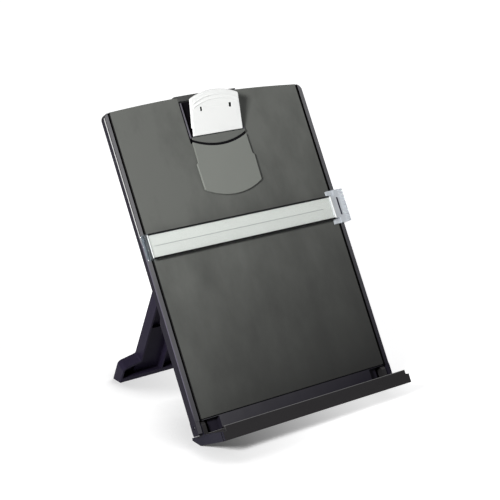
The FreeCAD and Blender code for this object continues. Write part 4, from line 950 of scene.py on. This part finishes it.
# %% [markdown]
# ## White paper below
# A catalogue picture stands on white paper that has no horizon.  The floor is a real, pale
# surface that takes the holder's shadow.  For the camera, and for reflections and clear
# plastic, a Light Path node adds just enough of its own white to lift the lit paper to full
# white, while the shadowed paper stays below it.  None of that white falls on the holder.
# Near the holder, the floor adds less of its own white on the key lamp's side, which is lit.
# Close to a foot or the ledge it adds less still: an Ambient Occlusion node measures how
# much of the sky a spot sees, and that paints a soft shadow round a thing that stands on paper.

# %% Finish of the paper
WHITE_NEAR = 0.88
WHITE_FAR = 0.97
KEY_SIDE_SHARE = 0.45
SKY_REACH = 0.10


def sees_white(tree):
    """1 for rays that look at the background, 0 for those that light the holder."""
    ray = node_in(tree, "ShaderNodeLightPath").outputs
    direct = calc(tree, "MAXIMUM", ray["Is Camera Ray"], ray["Is Transmission Ray"])
    return calc(tree, "MAXIMUM", direct, ray["Is Glossy Ray"])


paper, tree, _ = new_finish("paper_sweep")
tree.nodes.clear()
place = on_object(tree)
fibre = mixed(tree, noise(tree, place, 400.0, 2.0), 0.80, 0.82)
away = node_in(tree, "ShaderNodeVectorMath", {"operation": "LENGTH"}, **numbered(place)).outputs["Value"]
rightwards = dot(tree, place, SIDEWAYS)
side = ramp(tree, rightwards, -0.16, 0.04, KEY_SIDE_SHARE)
balance = calc(tree, "MAXIMUM", side, ramp(tree, away, 0.35, 0.70))
open_sky = node_in(tree, "ShaderNodeAmbientOcclusion", {"samples": 12}, Distance=SKY_REACH).outputs["AO"]
# Painted shadow: less own white where little sky is seen, most on the key lamp's side.
painted_contact_shadow = ramp(tree, open_sky, 0.72, 0.985, ramp(tree, rightwards, -0.10, 0.08, 0.15, 0.86))
lift = ramp(tree, away, 0.28, 0.75, WHITE_NEAR, WHITE_FAR)
for share in (balance, painted_contact_shadow, sees_white(tree)):
    lift = calc(tree, "MULTIPLY", lift, share)
lit = node_in(tree, "ShaderNodeBsdfDiffuse", Color=fibre).outputs[0]
own_white = node_in(tree, "ShaderNodeEmission", Strength=lift).outputs[0]
both = node_in(tree, "ShaderNodeAddShader", **numbered(lit, own_white)).outputs[0]
node_in(tree, "ShaderNodeOutputMaterial", Surface=both)
print("finish:", paper.name, "with", len(tree.nodes), "nodes")

# %% Floor
FLOOR_HALF = 6.0
sweep = bpy.data.meshes.new("paper_sweep")
sweep.from_pydata([(x * FLOOR_HALF, y * FLOOR_HALF, 0) for x, y in ((-1, -1), (1, -1), (1, 1), (-1, 1))],
                  [], [(0, 1, 2, 3)])
sweep.materials.append(paper)
floor = in_scene("paper_sweep", sweep)
print("floor", 2 * FLOOR_HALF, "m wide")

# %% [markdown]
# ## Light
# A small key box stands high on the left.  It does nearly all the work: it shapes the clip,
# and lets the jaw and the guide throw short, crisp shadows to the right.  A large box
# on the right only fills.

# %% Lamps
AIM = Vector((0.0, 0.08, 0.15))


def soft_box(name, place, size, power):
    """A square soft box at a place, turned to the middle of the board."""
    lamp = bpy.data.lights.new(name, "AREA")
    lamp.shape = "RECTANGLE"
    lamp.size = lamp.size_y = size
    lamp.energy = power
    box = in_scene(name, lamp)
    box.location = place
    box.rotation_euler = (AIM - Vector(place)).to_track_quat("-Z", "Y").to_euler()
    print(name, "of", power, "W")


soft_box("key_box", (-1.20, -0.52, 0.82), 0.28, 30.0)
soft_box("sheen_box", (0.62, -0.80, 1.22), 0.9, 1.6)

# %% [markdown]
# ## The room
# The world works like the paper: rays that look at the background see plain white, and all
# others get the faint, cool light of a room, which keeps the shadows from going black.

# %% World
ROOM_LIGHT = 0.12
world = bpy.data.worlds.new("studio")
bpy.context.scene.world = world
world.use_nodes = True
tree = world.node_tree
tree.nodes.clear()
room = node_in(tree, "ShaderNodeBackground", Color=colour((0.97, 0.97, 1.0)), Strength=ROOM_LIGHT).outputs[0]
white = node_in(tree, "ShaderNodeBackground", Color=colour(1.0), Strength=1.0).outputs[0]
either = node_in(tree, "ShaderNodeMixShader", **numbered(sees_white(tree), room, white)).outputs[0]
node_in(tree, "ShaderNodeOutputWorld", Surface=either)
print("world:", world.name)

# %% [markdown]
# ## Closing


print("sizes written")
